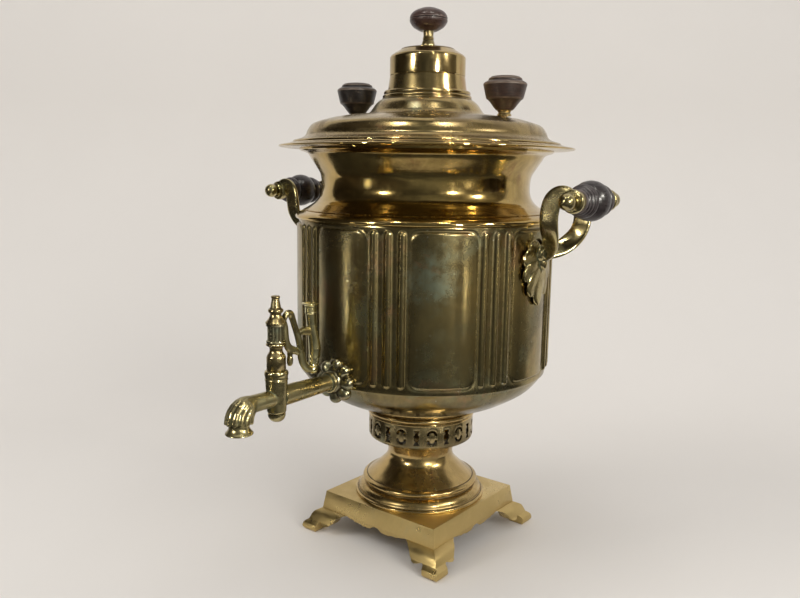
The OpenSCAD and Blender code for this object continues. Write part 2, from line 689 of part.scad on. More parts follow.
module plug_nut() {
    color("darkkhaki") translate([0, plug_y, 0]) difference() {
        turned(concat([[0, barrel_low - 6.6]],
            smooth([[3, barrel_low - 6.3], [5.6, barrel_low - 4.2], [6.6, barrel_low - 0.3]], 3),
            [[0, barrel_low - 0.3]]));
        translate([0, 0, tail_z - fit_gap]) cylinder(r = tail_r + fit_gap, h = 20);
    }
}

key_y = plug_y + key_reach;
scroll_t = 4.6;              // thickness of the openwork scroll
drum_r = 6.5;
drum_edge = plug_y + drum_r;

// Outline of the openwork scroll seen along X: along Y, and up
scroll_outline = let (k = key_y, d = drum_edge, up = drum_z0) [
    [d - 1, up + 12.4], [d + 2.7, up + 19.8], [d + 6.8, up + 21.6], [d + 10.2, up + 19.4],
    [d + 16.7, up + 7.4], [k - 3.2, up + 6.6], [k - 3.2, up], [d + 20.1, up - 2],
    [d + 22, up - 13.6], [k - 5.7, up - 23.6], [k - 3, up - 25.6], [k - 3, up - 28.6],
    [k - 8.2, up - 29], [k - 16, up - 20.5], [d + 12.2, up - 15.4], [d + 10.7, up - 10.6],
    [d + 9, up - 12.4], [d + 9.2, up - 16.5], [d + 6.8, up - 20.2], [d + 4.4, up - 16.5],
    [d + 5.3, up - 10.6], [d - 1, up + 1.5]];
scroll_eye = let (d = drum_edge, up = drum_z0) [
    [d + 5.3, up + 11.5], [d + 8, up + 7.5], [d + 10.3, up + 2.9], [d + 12.3, up - 3.5],
    [d + 9.6, up - 6.2], [d + 6.5, up - 3.5], [d + 5.3, up + 1]];

key_r = 4.1;          // radius of the grip's shaft
key_ball_r = 4.6;     // radius of the ball at the grip's foot
key_ball_up = 24.8;   // how far the ball's top lies below the drum's foot
finial_foot_r = 7.6;  // radius of the finial's flange
module key_branch() {
    color("darkgoldenrod") difference() {
        union() {
            translate([0, plug_y, drum_z0]) cylinder(r = drum_r, h = drum_z1 - drum_z0);
            translate([-scroll_t / 2, 0, 0]) rotate([90, 0, 90]) linear_extrude(scroll_t)
                difference() {
                    polygon(scroll_outline);
                    polygon(scroll_eye);
                }
        }
        translate([0, plug_y, drum_z0 - 1]) cylinder(r = spigot_r + fit_gap, h = 30);
        translate([0, plug_y, drum_z1]) cylinder(r = finial_foot_r + fit_gap, h = 10);
        translate([0, key_y, drum_z0 - 40]) cylinder(r = key_r + 0.02, h = 80);
        translate([0, key_y, drum_z0 - 40]) cylinder(r = key_ball_r + fit_gap, h = 40 - key_ball_up);
    }
}

module key_grip() {
    up = drum_z0;
    color("darkkhaki") translate([0, key_y, 0]) turned([[0, up - 31], [2.4, up - 30.2],
        [key_ball_r, up - 27.6], [key_r, up - key_ball_up], [key_r, up + 13],
        [key_r + 0.4, up + 22.4], [6.4, up + 23.6], [6.8, up + 24.2], [6.4, up + 24.8], [0, up + 24.8]]);
}

module key_finial() {
    z = drum_z1;
    color("goldenrod") translate([0, plug_y, 0]) difference() {
        turned(concat([[0, z], [finial_foot_r - 0.6, z], [finial_foot_r, z + 1.2]],
            smooth([[7, z + 2.4], [5, z + 4.6], [4.2, z + 7.2]], 2),
            [[5, z + 8.4], [5.5, z + 9.8], [4.8, z + 11]],
            smooth([[3.9, z + 12.4], [3, z + 16.6], [2.8, z + 18.4]], 2),
            [[3.3, z + 19.2], [3.1, z + 20.2], [0, z + 20.6]]));
        translate([0, 0, z - 1]) cylinder(r = spigot_r + fit_gap, h = 7 + fit_gap);
    }
}

// ---- Lid ----------------------------------------------------------------------------------------

lid_slope = lid_h / 23.8;          // the lid's profile grows in height with its shoulder
lid_collar_z = seat_z + lid_collar_h;
collar_out = lid_hole_r + 3.4;
knob_at = (collar_out + 17 + lid_r - 33) / 2 + knob_shift;    // on the shoulder, outside the collar's cove
lid_side = let (z = seat_z, k = lid_slope, r = lid_r) concat(
    [[r - 15.8, z], [r, z], [r, z + 1]],
    smooth([[r - 0.6, z + 1.8], [r - 4, z + 2.6 * k], [r - 8, z + 4 * k], [r - 11, z + 6.4 * k],
        [r - 12.4, z + 10 * k], [r - 15.4, z + 14.4 * k], [r - 20, z + 17 * k], [r - 33, z + 20.6 * k]], 3),
    smooth([[knob_at, z + 22.4 * k], [collar_out + 17, z + 23.4 * k], [collar_out + 12, z + 25 * k],
        [collar_out + 8.6, z + 29 * k], [collar_out + 5.6, z + 33.4 * k],
        [collar_out + 1.6, z + 36.6 * k]], 3),
    [[collar_out + 0.4, seat_z + lid_collar_h - 6.6]],
    smooth([[collar_out - 0.4, seat_z + lid_collar_h - 6], [collar_out, seat_z + lid_collar_h - 4.8],
        [collar_out - 1, seat_z + lid_collar_h - 3.4]], 2),
    smooth([[collar_out - 1.6, seat_z + lid_collar_h - 3], [collar_out - 1.2, seat_z + lid_collar_h - 1.8],
        [collar_out - 2, seat_z + lid_collar_h]], 2));

stem_hole_r = 2.6;
knob_foot_z = seat_z + 22.4 * lid_slope + 0.2;
stem_h = 4.6;            // height of the brass stem that shows under a lid knob
module at_knob(side) rotate([0, 0, lid_turn + (side > 0 ? 0 : 180)]) translate([knob_at, 0, 0]) children();

module lid_shell() {
    skirt_r = mouth_bore_r - 0.9;
    top = len(lid_side) - 1;
    inside = [for (i = [top : -1 : 3]) lid_side[i] + sheet * left_of(lid_side, i)];
    color("goldenrod") difference() {
        union() {
            turned(concat(lid_side, [[lid_hole_r, lid_collar_z], [lid_hole_r, lid_collar_z - 8]],
                [for (p = inside) if (p[0] > lid_hole_r + 1 && p[1] < lid_collar_z - 8) p],
                [[lid_r - 12.6, seat_z + sheet], [lid_r - 15.8, seat_z + sheet]]));
            translate([0, 0, seat_z - 7]) ring(skirt_r - 1.2, skirt_r, 8);
            for (side = [-1, 1]) at_knob(side)
                translate([0, 0, knob_foot_z - 2.4]) cylinder(r = 6.2, h = 2.4);
        }
        for (side = [-1, 1]) at_knob(side) translate([0, 0, knob_foot_z - 12])
            cylinder(r = stem_hole_r + fit_gap, h = 20);
    }
}

stud_len = 16;      // length of the stud inside a lid knob
module lid_stem() {
    z = knob_foot_z;
    color("goldenrod") turned([[0, z - 10], [stem_hole_r, z - 10], [stem_hole_r, z], [5.9, z], [5.9, z + 1],
        [5.2, z + 1.8], [5.2, z + stem_h - 1.2], [5.8, z + stem_h], [stem_hole_r, z + stem_h],
        [stem_hole_r, z + stem_h + stud_len], [0, z + stem_h + stud_len]]);
}
module lid_stem_right() at_knob(1) lid_stem();
module lid_stem_left() at_knob(-1) lid_stem();

module lid_knob() {
    z = knob_foot_z + stem_h;
    h = knob_h;
    r = knob_r;
    color("saddlebrown") difference() {
        turned([[0, z], [r - 11, z], [r - 5.2, z + 0.29 * h], [r - 2.8, z + 0.31 * h], [r, z + 0.73 * h],
            [r - 0.4, z + 0.77 * h], [r - 3.6, z + 0.86 * h], [r - 4, z + 0.95 * h], [r - 6, z + h],
            [0, z + h]]);
        translate([0, 0, z - 1]) cylinder(r = stem_hole_r + fit_gap, h = stud_len + 1 + fit_gap);
    }
}
module lid_knob_right() at_knob(1) lid_knob();
module lid_knob_left() at_knob(-1) lid_knob();

module lid_nuts() color("goldenrod") for (side = [-1, 1]) at_knob(side)
    translate([0, 0, knob_foot_z - 2.4 - 3.6]) difference() {
        cylinder(r = 5, h = 3.2, $fn = 6);
        translate([0, 0, -1]) cylinder(r = stem_hole_r + fit_gap, h = 6);
    }

// ---- Cap --------------------------------------------------------------------------------------------

cap_z = chimney_z;
cap_top = cap_z + cap_h;
cap_bolt_r = 2.5;
module cap_shell() {
    r = cap_r;
    outside = concat([[r, cap_z], [r, cap_z + 15.2], [r - 0.8, cap_z + cap_h - 8.2]],
        smooth([[r - 1.8, cap_z + cap_h - 7.4], [r - 8.2, cap_top - 3.2], [r - 9.4, cap_top - 2.6]], 2),
        smooth([[r - 10, cap_top - 2.2], [r - 18, cap_top - 0.7], [5, cap_top], [cap_bolt_r, cap_top]], 2));
    color("goldenrod") difference() {
        turned(thickened(outside, sheet));
        translate([0, 0, cap_top - 10]) cylinder(r = cap_bolt_r + fit_gap, h = 20);
    }
}

module cap_stem() {
    z = cap_top;
    h = cap_stem_h;
    color("darkgoldenrod") turned([[0, z - 6], [cap_bolt_r, z - 6], [cap_bolt_r, z], [5.6, z], [5.8, z + 2],
        [5, z + 0.4 * h], [4.4, z + 0.44 * h], [4.8, z + 0.5 * h], [4.6, z + h], [cap_bolt_r, z + h],
        [cap_bolt_r, z + h + 0.6 * cap_knob_h], [0, z + h + 0.6 * cap_knob_h]]);
}

module cap_knob() {
    z = cap_top + cap_stem_h;
    h = cap_knob_h;
    r = cap_knob_r;
    color("saddlebrown") difference() {
        turned(concat([[0, z]], smooth([[0.5 * r, z], [0.82 * r, z + 0.16 * h], [r, z + 0.46 * h],
            [0.92 * r, z + 0.7 * h], [0.6 * r, z + 0.92 * h], [0, z + h]], 3)));
        translate([0, 0, z - 1]) cylinder(r = cap_bolt_r + fit_gap, h = 0.6 * h + 1 + fit_gap);
    }
}

module cap_nut() color("goldenrod") translate([0, 0, cap_top - sheet - 4]) difference() {
    cylinder(r = 5, h = 3.4, $fn = 6);
    translate([0, 0, -1]) cylinder(r = cap_bolt_r + fit_gap, h = 6);
}

foot_front_right();
foot_back_right();
foot_back_left();
foot_front_left();
tray();
pedestal();
gallery_ring();
neck_collar();
body_wall();
body_neck();
top_rim();
tank_floor();
fire_tube();
fire_grate();
chimney_sleeve();
handle_bracket_right();
handle_bracket_left();
handle_rod_right();
handle_rod_left();
handle_grip_right();
handle_grip_left();
grip_ferrules();
rod_washers();
ball_nuts();
bracket_rivets();
tap_rosette();
tap_body();
tap_plug();
key_branch();
key_grip();
key_finial();
plug_nut();
lid_shell();
lid_stem_right();
lid_stem_left();
lid_knob_right();
lid_knob_left();
lid_nuts();
cap_shell();
cap_stem();
cap_knob();
cap_nut();
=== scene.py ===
"""Looks of a charcoal samovar: every visible piece is modelled over its CAD node, dressed in worn brass or
turned wood, and set on a pale floor under soft light, seen from the photograph's angle."""

import logging
import math
from collections.abc import Callable, Iterable, Iterator, Sequence
from contextlib import contextmanager
from dataclasses import dataclass
from enum import Enum

import bmesh
import bpy
import numpy as np
from mathutils import Matrix, Vector


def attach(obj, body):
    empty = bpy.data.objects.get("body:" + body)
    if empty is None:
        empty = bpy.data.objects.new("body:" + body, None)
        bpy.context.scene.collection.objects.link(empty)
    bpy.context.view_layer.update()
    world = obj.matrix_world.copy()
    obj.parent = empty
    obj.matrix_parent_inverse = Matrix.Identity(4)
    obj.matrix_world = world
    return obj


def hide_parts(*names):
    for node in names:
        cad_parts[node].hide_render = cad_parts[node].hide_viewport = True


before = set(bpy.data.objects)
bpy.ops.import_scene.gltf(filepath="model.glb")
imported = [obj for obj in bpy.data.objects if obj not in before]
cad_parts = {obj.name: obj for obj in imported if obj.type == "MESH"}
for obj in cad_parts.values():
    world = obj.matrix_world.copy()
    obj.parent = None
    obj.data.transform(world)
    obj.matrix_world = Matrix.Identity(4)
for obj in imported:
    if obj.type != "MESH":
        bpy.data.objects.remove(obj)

LOG = logging.getLogger("samovar")
MM = 0.001
WHITE = (1.0, 1.0, 1.0)
AXIS = (0.0, 0.0)
Outline = Sequence[tuple[float, float]]
Colour = tuple[float, float, float]
Piece = bpy.types.Object
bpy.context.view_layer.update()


class Body(str, Enum):
    """The rigid bodies of the frame that pieces ride on."""

    URN = "urn"
    KEY = "tap_key"
    LID = "lid"
    CAP = "cap"


# ---- Modelling helpers ---------------------------------------------------------------------------


def at(x: float, z: float, *steps: tuple[float, float]) -> list[tuple[float, float]]:
    """Points of an outline, given as steps outwards and upwards from (x, z)."""
    return [(x + a, z + b) for a, b in steps]


def smooth(points: Outline, steps: int = 6) -> list[tuple[float, ...]]:
    """Runs a smooth curve through points.

    Args:
        points: The points, each with the same number of coordinates.
        steps: Parts that each stretch between neighbours is split into.

    Returns:
        The points of the curve, ends included.
    """
    pts = [np.array(p, dtype=float) for p in points]
    out = []
    for i in range(len(pts) - 1):
        a, b = pts[max(i - 1, 0)], pts[i]
        c, d = pts[i + 1], pts[min(i + 2, len(pts) - 1)]
        for k in range(steps):
            t = k / steps
            out.append(tuple(0.5 * (2 * b + (c - a) * t + (2 * a - 5 * b + 4 * c - d) * t**2
                                    + (3 * b - a - 3 * c + d) * t**3)))
    out.append(tuple(pts[-1]))
    return out


def thinned(outline: Outline, least: float = 0.02) -> list[tuple[float, float]]:
    """Drops points of an outline that lie within a distance in mm of the one before."""
    kept = [outline[0]]
    for point in outline[1:]:
        if math.dist(point, kept[-1]) > least:
            kept.append(point)
    return kept


def rounded(points: Outline, radius: float, segments: int = 4) -> list[tuple[float, float]]:
    """Rounds the inner corners of an open outline.

    Args:
        points: The corners of the outline.
        radius: How far from each corner the rounding starts, cut to a third of the shorter neighbour.
        segments: Parts of each rounding.

    Returns:
        The outline with rounded corners.
    """
    pts = [Vector(p) for p in points]
    out = [tuple(pts[0])]
    for before, corner, after in zip(pts, pts[1:], pts[2:]):
        reach = min(radius, (before - corner).length / 2.6, (after - corner).length / 2.6)
        start = corner + (before - corner).normalized() * reach
        end = corner + (after - corner).normalized() * reach
        for k in range(segments + 1):
            t = k / segments
            out.append(tuple(start.lerp(corner, t).lerp(corner.lerp(end, t), t)))
    out.append(tuple(pts[-1]))
    return out


def deselect() -> None:
    """Leaves nothing selected, so that an operator acts on the new piece alone."""
    if bpy.context.object and bpy.context.object.mode != "OBJECT":
        bpy.ops.object.mode_set(mode="OBJECT")
    bpy.ops.object.select_all(action="DESELECT")


def activate(piece: Piece) -> None:
    """Makes a piece the only selected and active one."""
    deselect()
    piece.select_set(True)
    bpy.context.view_layer.objects.active = piece


def edge_chain(name: str, points: Iterable[Sequence[float]]) -> Piece:
    """Models a chain of edges by extruding one vertex from point to point.

    Args:
        name: The piece's name.
        points: The chain's points in mm.

    Returns:
        The piece, in edit mode with all its vertices selected.
    """
    places = [Vector(p) * MM for p in points]
    deselect()
    bpy.ops.mesh.primitive_plane_add(size=MM)
    piece = bpy.context.object
    piece.name = piece.data.name = name
    bpy.ops.object.mode_set(mode="EDIT")
    bpy.ops.mesh.select_all(action="SELECT")
    bpy.ops.mesh.merge(type="CENTER")
    bpy.ops.transform.translate(value=places[0])
    for before, after in zip(places, places[1:]):
        bpy.ops.mesh.extrude_region_move(TRANSFORM_OT_translate={"value": after - before})
    bpy.ops.mesh.select_all(action="SELECT")
    return piece


@contextmanager
def editing(piece: Piece) -> Iterator[None]:
    """Keeps a piece in edit mode, with all of it selected."""
    activate(piece)
    bpy.ops.object.mode_set(mode="EDIT")
    bpy.ops.mesh.select_all(action="SELECT")
    yield
    bpy.ops.object.mode_set(mode="OBJECT")


def clean(piece: Piece, gap: float = 2e-6) -> Piece:
    """Merges vertices within a gap in metres, and turns all faces outwards."""
    with editing(piece):
        bpy.ops.mesh.remove_doubles(threshold=gap)
        bpy.ops.mesh.normals_make_consistent(inside=False)
    return piece


def lathe(name: str, outline: Outline, steps: int = 96, centre: tuple[float, float] = AXIS,
          along_y: bool = False) -> Piece:
    """Turns an outline about an upright axis, or about an axis along Y.

    Args:
        name: The piece's name.
        outline: Radius and place along the axis of each point, in mm. A ring repeats its first point.
        steps: Facets round the axis.
        centre: Where the axis crosses the ground (X, Y), or the plane of X and Z.
        along_y: Whether the axis runs along Y.

    Returns:
        The turned piece, with outward faces.
    """
    a, b = centre
    if along_y:
        points = [(a + r, h, b) for r, h in outline]
        middle, axis = (a * MM, 0.0, b * MM), (0, 1, 0)
    else:
        points = [(a + r, b, h) for r, h in outline]
        middle, axis = (a * MM, b * MM, 0.0), (0, 0, 1)
    piece = edge_chain(name, points)
    bpy.ops.mesh.spin(steps=steps, angle=math.tau, center=middle, axis=axis)
    clean(piece)
    closed = outline[0] == outline[-1] or (outline[0][0] == 0 and outline[-1][0] == 0)
    if not closed:
        face_away(piece, middle, along_y)
    return piece


def face_away(piece: Piece, middle: Sequence[float], along_y: bool) -> None:
    """Turns an open shell's faces away from its axis, where most of them face it.

    Args:
        piece: The turned shell.
        middle: A point on its axis, in metres.
        along_y: Whether the axis runs along Y.
    """
    total = 0.0
    for face in piece.data.polygons:
        arm = face.center - Vector(middle)
        arm[1 if along_y else 2] = 0.0
        total += face.normal.dot(arm) * face.area
    if total < 0:
        with editing(piece):
            bpy.ops.mesh.flip_normals()


def apply_modifier(piece: Piece, kind: str, **settings: object) -> Piece:
    """Adds a modifier with its settings and applies it."""
    activate(piece)
    modifier = piece.modifiers.new(kind.lower(), kind)
    for key, value in settings.items():
        setattr(modifier, key, value)
    bpy.ops.object.modifier_apply(modifier=modifier.name)
    return piece


def bevel(piece: Piece, width: float, segments: int = 2, angle: float = 30.0) -> Piece:
    """Rounds a piece's sharp edges by a width in mm."""
    return apply_modifier(piece, "BEVEL", width=width * MM, segments=segments, limit_method="ANGLE",
                          angle_limit=math.radians(angle), use_clamp_overlap=True)


def cut(piece: Piece, tool: Piece, operation: str = "DIFFERENCE") -> Piece:
    """Cuts a piece with a tool, and deletes the tool."""
    apply_modifier(piece, "BOOLEAN", operation=operation, object=tool, solver="EXACT")
    bpy.data.objects.remove(tool, do_unlink=True)
    return piece


def move_vertices(piece: Piece, where: Callable[[Vector], Vector]) -> Piece:
    """Moves each vertex of a piece to where(its place), both in mm."""
    for vertex in piece.data.vertices:
        vertex.co = where(vertex.co / MM) * MM
    piece.data.update()
    return piece


def copy_of(piece: Piece, name: str, turn: Matrix, mirrored: bool = False) -> Piece:
    """Copies a piece with its own mesh and moves that mesh.

    Args:
        piece: The piece to copy.
        name: The copy's name.
        turn: The matrix that the copy's mesh is moved by.
        mirrored: Whether the matrix turns the shape inside out.

    Returns:
        The copy.
    """
    mesh = piece.data.copy()
    mesh.name = name
    mesh.transform(turn)
    if mirrored:
        mesh.flip_normals()
    double = bpy.data.objects.new(name, mesh)
    bpy.context.collection.objects.link(double)
    return double


def join(pieces: Sequence[Piece], name: str) -> Piece:
    """Joins pieces into the first one's mesh, under a new name."""
    activate(pieces[0])
    for piece in pieces[1:]:
        piece.select_set(True)
    bpy.ops.object.join()
    pieces[0].name = pieces[0].data.name = name
    return pieces[0]


def loft(name: str, rings: Sequence[Sequence[Vector]]) -> Piece:
    """Skins closed rings and closes both ends.

    Args:
        name: The piece's name.
        rings: The rings, of as many points each, in mm.

    Returns:
        The closed piece.
    """
    shape = bmesh.new()
    rows = [[shape.verts.new(p * MM) for p in ring] for ring in rings]
    count = len(rows[0])
    for row, following in zip(rows, rows[1:]):
        for k in range(count):
            shape.faces.new((row[k], row[(k + 1) % count], following[(k + 1) % count], following[k]))
    shape.faces.new(rows[0])
    shape.faces.new(rows[-1])
    mesh = bpy.data.meshes.new(name)
    shape.to_mesh(mesh)
    shape.free()
    piece = bpy.data.objects.new(name, mesh)
    bpy.context.collection.objects.link(piece)
    return clean(piece)


def sweep(name: str, path: Sequence[Vector], sizes: Sequence[tuple[float, float]], side: Vector,
          sides: int = 24, boxy: float = 1.0) -> Piece:
    """Sweeps a rounded section along a path.

    Args:
        name: The piece's name.
        path: The points of the path in mm.
        sizes: At each point, half the section's size along side and square to it.
        side: The direction that the section's first size follows.
        sides: Points round the section.
        boxy: 1 for an ellipse, below 1 for a flatter, strap-like section.

    Returns:
        The swept piece.
    """
    rings = []
    for i, (point, (wide, thick)) in enumerate(zip(path, sizes)):
        ahead = (path[min(i + 1, len(path) - 1)] - path[max(i - 1, 0)]).normalized()
        across = (side - ahead * side.dot(ahead)).normalized()
        up = ahead.cross(across)
        ring = []
        for k in range(sides):
            turn = math.tau * k / sides
            c, s = math.cos(turn), math.sin(turn)
            ring.append(point + across * wide * math.copysign(abs(c) ** boxy, c)
                        + up * thick * math.copysign(abs(s) ** boxy, s))
        rings.append(ring)
    return loft(name, rings)


def store_relief(piece: Piece, radius: float = 1.4, blur: int = 2) -> None:
    """Stores on each vertex how sharply the surface bulges (up to 1) or sinks (down to -1).

    Args:
        piece: The finished piece.
        radius: The radius of curvature, in mm, that counts as fully sharp.
        blur: How many times the values are averaged with their neighbours.
    """
    mesh = piece.data
    count = len(mesh.vertices)
    places = np.empty(count * 3)
    normals = np.empty(count * 3)
    mesh.vertices.foreach_get("co", places)
    mesh.vertices.foreach_get("normal", normals)
    places, normals = places.reshape(-1, 3), normals.reshape(-1, 3)
    ends = np.empty(len(mesh.edges) * 2, dtype=np.int64)
    mesh.edges.foreach_get("vertices", ends)
    one, other = ends.reshape(-1, 2).T
    arms = places[other] - places[one]
    lengths = np.maximum(np.linalg.norm(arms, axis=1), 1e-7)
    bends = np.zeros(count)
    links = np.zeros(count)
    np.add.at(bends, one, -2 * np.einsum("ij,ij->i", arms, normals[one]) / lengths**2)
    np.add.at(bends, other, 2 * np.einsum("ij,ij->i", arms, normals[other]) / lengths**2)
    np.add.at(links, one, 1)
    np.add.at(links, other, 1)
    relief = np.clip(bends / np.maximum(links, 1) * radius * MM, -1, 1)
    for _ in range(blur):
        total = np.zeros(count)
        np.add.at(total, one, relief[other])
        np.add.at(total, other, relief[one])
        relief = 0.5 * relief + 0.5 * total / np.maximum(links, 1)
    layer = mesh.attributes.new("relief", "FLOAT", "POINT")
    layer.data.foreach_set("value", relief.astype(np.float32))


def finish_piece(piece: Piece, body: Body, finish: "Finish", nodes: Sequence[str], smooth_angle: float = 38.0,
                 relief: float = 1.4) -> Piece:
    """Shades a piece, dresses it, ties it to its body, and hides the CAD nodes that it stands for.

    Args:
        piece: The modelled piece, in place.
        body: The body that it rides on.
        finish: The finish that it gets.
        nodes: The CAD nodes that it stands for.
        smooth_angle: Edges sharper than this many degrees stay sharp.
        relief: The radius in mm below which a bend counts as an edge or a groove.

    Returns:
        The piece.
    """
    activate(piece)
    bpy.ops.object.shade_smooth_by_angle(angle=math.radians(smooth_angle))
    store_relief(piece, relief)
    piece.data.materials.clear()
    piece.data.materials.append(finish.material())
    if nodes:
        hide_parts(*nodes)
    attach(piece, body.value)
    deselect()
    LOG.info("%s: %d faces on %s", piece.name, len(piece.data.polygons), body.value)
    return piece


# ---- Finishes ------------------------------------------------------------------------------------


def rgba(colour: Colour) -> tuple[float, float, float, float]:
    """A colour with full alpha."""
    return (*colour, 1.0)


class Sheet:
    """A node tree that nodes are laid out on, one after another."""

    def __init__(self, tree: bpy.types.NodeTree) -> None:
        """Takes an empty node tree."""
        self.tree = tree
        self.count = 0

    def add(self, kind: str, **inputs: object) -> bpy.types.Node:
        """Adds a node, and links or sets its inputs.

        Args:
            kind: The node's type name without the ShaderNode prefix.
            inputs: Input name (with _ for a space) to a value, or to an output socket to link from. A name in
                small letters sets a property of the node.

        Returns:
            The node.
        """
        node = self.tree.nodes.new(kind if kind.startswith("NodeGroup") else "ShaderNode" + kind)
        node.location = (180 * (self.count % 8), -220 * (self.count // 8))
        self.count += 1
        for key, value in inputs.items():
            if key[0].islower():
                setattr(node, key, value)
        for key, value in inputs.items():
            if not key[0].islower():
                self.feed(node, key, value)
        return node

    def feed(self, node: bpy.types.Node, key: str, value: object) -> None:
        """Links a socket, or sets its value. A key such as In1 means the input with that number."""
        numbered = key.startswith("In") and key[2:].isdigit()
        target = node.inputs[int(key[2:]) if numbered else key.replace("_", " ")]
        if isinstance(value, bpy.types.NodeSocket):
            self.tree.links.new(value, target)
        else:
            target.default_value = value

    def math(self, operation: str, a: object, b: object = 0.0, clamp: bool = False) -> bpy.types.NodeSocket:
        """Result of a Math node."""
        return self.add("Math", operation=operation, use_clamp=clamp, In0=a, In1=b).outputs[0]

    def times(self, a: object, b: object) -> bpy.types.NodeSocket:
        """Product of two values."""
        return self.math("MULTIPLY", a, b)

    def plus(self, a: object, b: object, clamp: bool = False) -> bpy.types.NodeSocket:
        """Sum of two values."""
        return self.math("ADD", a, b, clamp)

    def span(self, value: object, start: float, end: float, to_start: float = 0.0,
             to_end: float = 1.0) -> bpy.types.NodeSocket:
        """Maps a value smoothly from one range to another."""
        return self.add("MapRange", interpolation_type="SMOOTHSTEP", In0=value, In1=start, In2=end,
                        In3=to_start, In4=to_end).outputs[0]

    def mix(self, share: object, first: object, second: object) -> bpy.types.NodeSocket:
        """Mix of two colours, where a plain one has three parts."""
        first, second = (rgba(c) if isinstance(c, tuple) else c for c in (first, second))
        return self.add("Mix", data_type="RGBA", In0=share, In6=first, In7=second).outputs[2]

    def stained(self, colour: object, mask: object, share: float, over: Colour) -> bpy.types.NodeSocket:
        """A colour under a share of another where a mask is high."""
        return self.mix(self.times(mask, share), colour, over)

    def mapped(self, place: object, **how: Sequence[float]) -> bpy.types.NodeSocket:
        """A place moved, turned and scaled by a Mapping node."""
        return self.add("Mapping", Vector=place, **how).outputs[0]

    def noise(self, vector: object, scale: object, detail: float = 4.0, rough: float = 0.55,
              warp: float = 0.0) -> bpy.types.NodeSocket:
        """Value of a Noise texture, from 0 to 1."""
        return self.add("TexNoise", Vector=vector, Scale=scale, Detail=detail, Roughness=rough,
                        Distortion=warp).outputs[0]


def new_group(name: str, inputs: dict[str, float], outputs: Sequence[str]) \
        -> tuple[Sheet, bpy.types.Node, bpy.types.Node]:
    """Makes a shader node group whose first input is a place.

    Args:
        name: The group's name.
        inputs: Its other inputs, with their usual values.
        outputs: Its outputs.

    Returns:
        Its sheet, its input node and its output node.
    """
    group = bpy.data.node_groups.new(name, "ShaderNodeTree")
    socket = group.interface.new_socket
    socket(name="Vector", in_out="INPUT", socket_type="NodeSocketVector")
    for key, value in inputs.items():
        socket(name=key, in_out="INPUT", socket_type="NodeSocketFloat").default_value = value
    for key in outputs:
        socket(name=key, in_out="OUTPUT", socket_type="NodeSocketFloat")
    sheet = Sheet(group)
    return sheet, sheet.add("NodeGroupInput"), sheet.add("NodeGroupOutput")


def clouds_group() -> bpy.types.NodeTree:
    """Blotchy mask of tarnish: large clouds broken up by small ones."""
    if found := bpy.data.node_groups.get("tarnish clouds"):
        return found
    sheet, given, result = new_group("tarnish clouds", {"Scale": 20.0, "Cover": 0.5, "Edge": 0.12}, ["Mask"])
    place, scale, cover, edge = given.outputs[:4]
    large = sheet.noise(place, scale, 5.0, 0.62, 0.6)
    fine = sheet.noise(place, sheet.times(scale, 5.3), 3.0, 0.6)
    both = sheet.plus(sheet.times(large, 0.78), sheet.times(fine, 0.22))
    limit = sheet.math("SUBTRACT", 1.0, cover)
    level = sheet.add("MapRange", In0=limit, In1=0.0, In2=1.0, In3=0.3, In4=0.7).outputs[0]
    scaled = sheet.math("DIVIDE", sheet.math("SUBTRACT", both, level), edge)
    sheet.feed(result, "In0", sheet.plus(scaled, 0.5, clamp=True))
    return sheet.tree


def wear_group() -> bpy.types.NodeTree:
    """Masks of rubbed edges and dirty grooves from the stored relief, broken up by noise."""
    if found := bpy.data.node_groups.get("rubbed edges"):
        return found
    sheet, given, result = new_group("rubbed edges", {}, ["Edge", "Groove"])
    relief = sheet.add("Attribute", attribute_name="relief").outputs["Fac"]
    patchy = sheet.noise(given.outputs[0], 160.0, 3.0, 0.6)
    shift = sheet.times(sheet.math("SUBTRACT", patchy, 0.5), 0.35)
    edge = sheet.span(sheet.plus(relief, shift), 0.12, 0.55)
    sunk = sheet.plus(sheet.times(relief, -1.0), shift)
    sheet.feed(result, "In0", edge)
    sheet.feed(result, "In1", sheet.span(sunk, 0.06, 0.45))
    return sheet.tree


def scratch_group() -> bpy.types.NodeTree:
    """Height of polishing scratches, fine pits and the slow waves of hand-beaten sheet."""
    if found := bpy.data.node_groups.get("handled metal"):
        return found
    sheet, given, result = new_group("handled metal",
                                     {"Waves": 1.0, "Scratches": 0.3, "Grain": 0.0}, ["Height"])
    place = given.outputs[0]
    waves = sheet.noise(place, 22.0, 1.0, 0.4)
    stretched = sheet.mapped(place, Rotation=(0.5, 0.35, 0.2), Scale=(60.0, 900.0, 700.0))
    lines = sheet.noise(stretched, 1.0, 2.0, 0.7)
    grain = sheet.noise(place, 900.0, 4.0, 0.75)
    height = sheet.times(waves, given.outputs[1])
    height = sheet.plus(height, sheet.times(lines, given.outputs[2]))
    height = sheet.plus(height, sheet.times(grain, given.outputs[3]))
    sheet.feed(result, "In0", height)
    return sheet.tree


def grouped(sheet: Sheet, group: bpy.types.NodeTree, **inputs: object) -> bpy.types.Node:
    """Places a node group in a material with its own values."""
    node = sheet.tree.nodes.new("ShaderNodeGroup")
    node.node_tree = group
    for key, value in inputs.items():
        sheet.feed(node, key, value)
    return node


def blank_material(name: str) -> tuple[bpy.types.Material, Sheet]:
    """Makes a material without nodes, and its sheet."""
    made = bpy.data.materials.new(name)
    made.use_nodes = True
    made.node_tree.nodes.clear()
    return made, Sheet(made.node_tree)


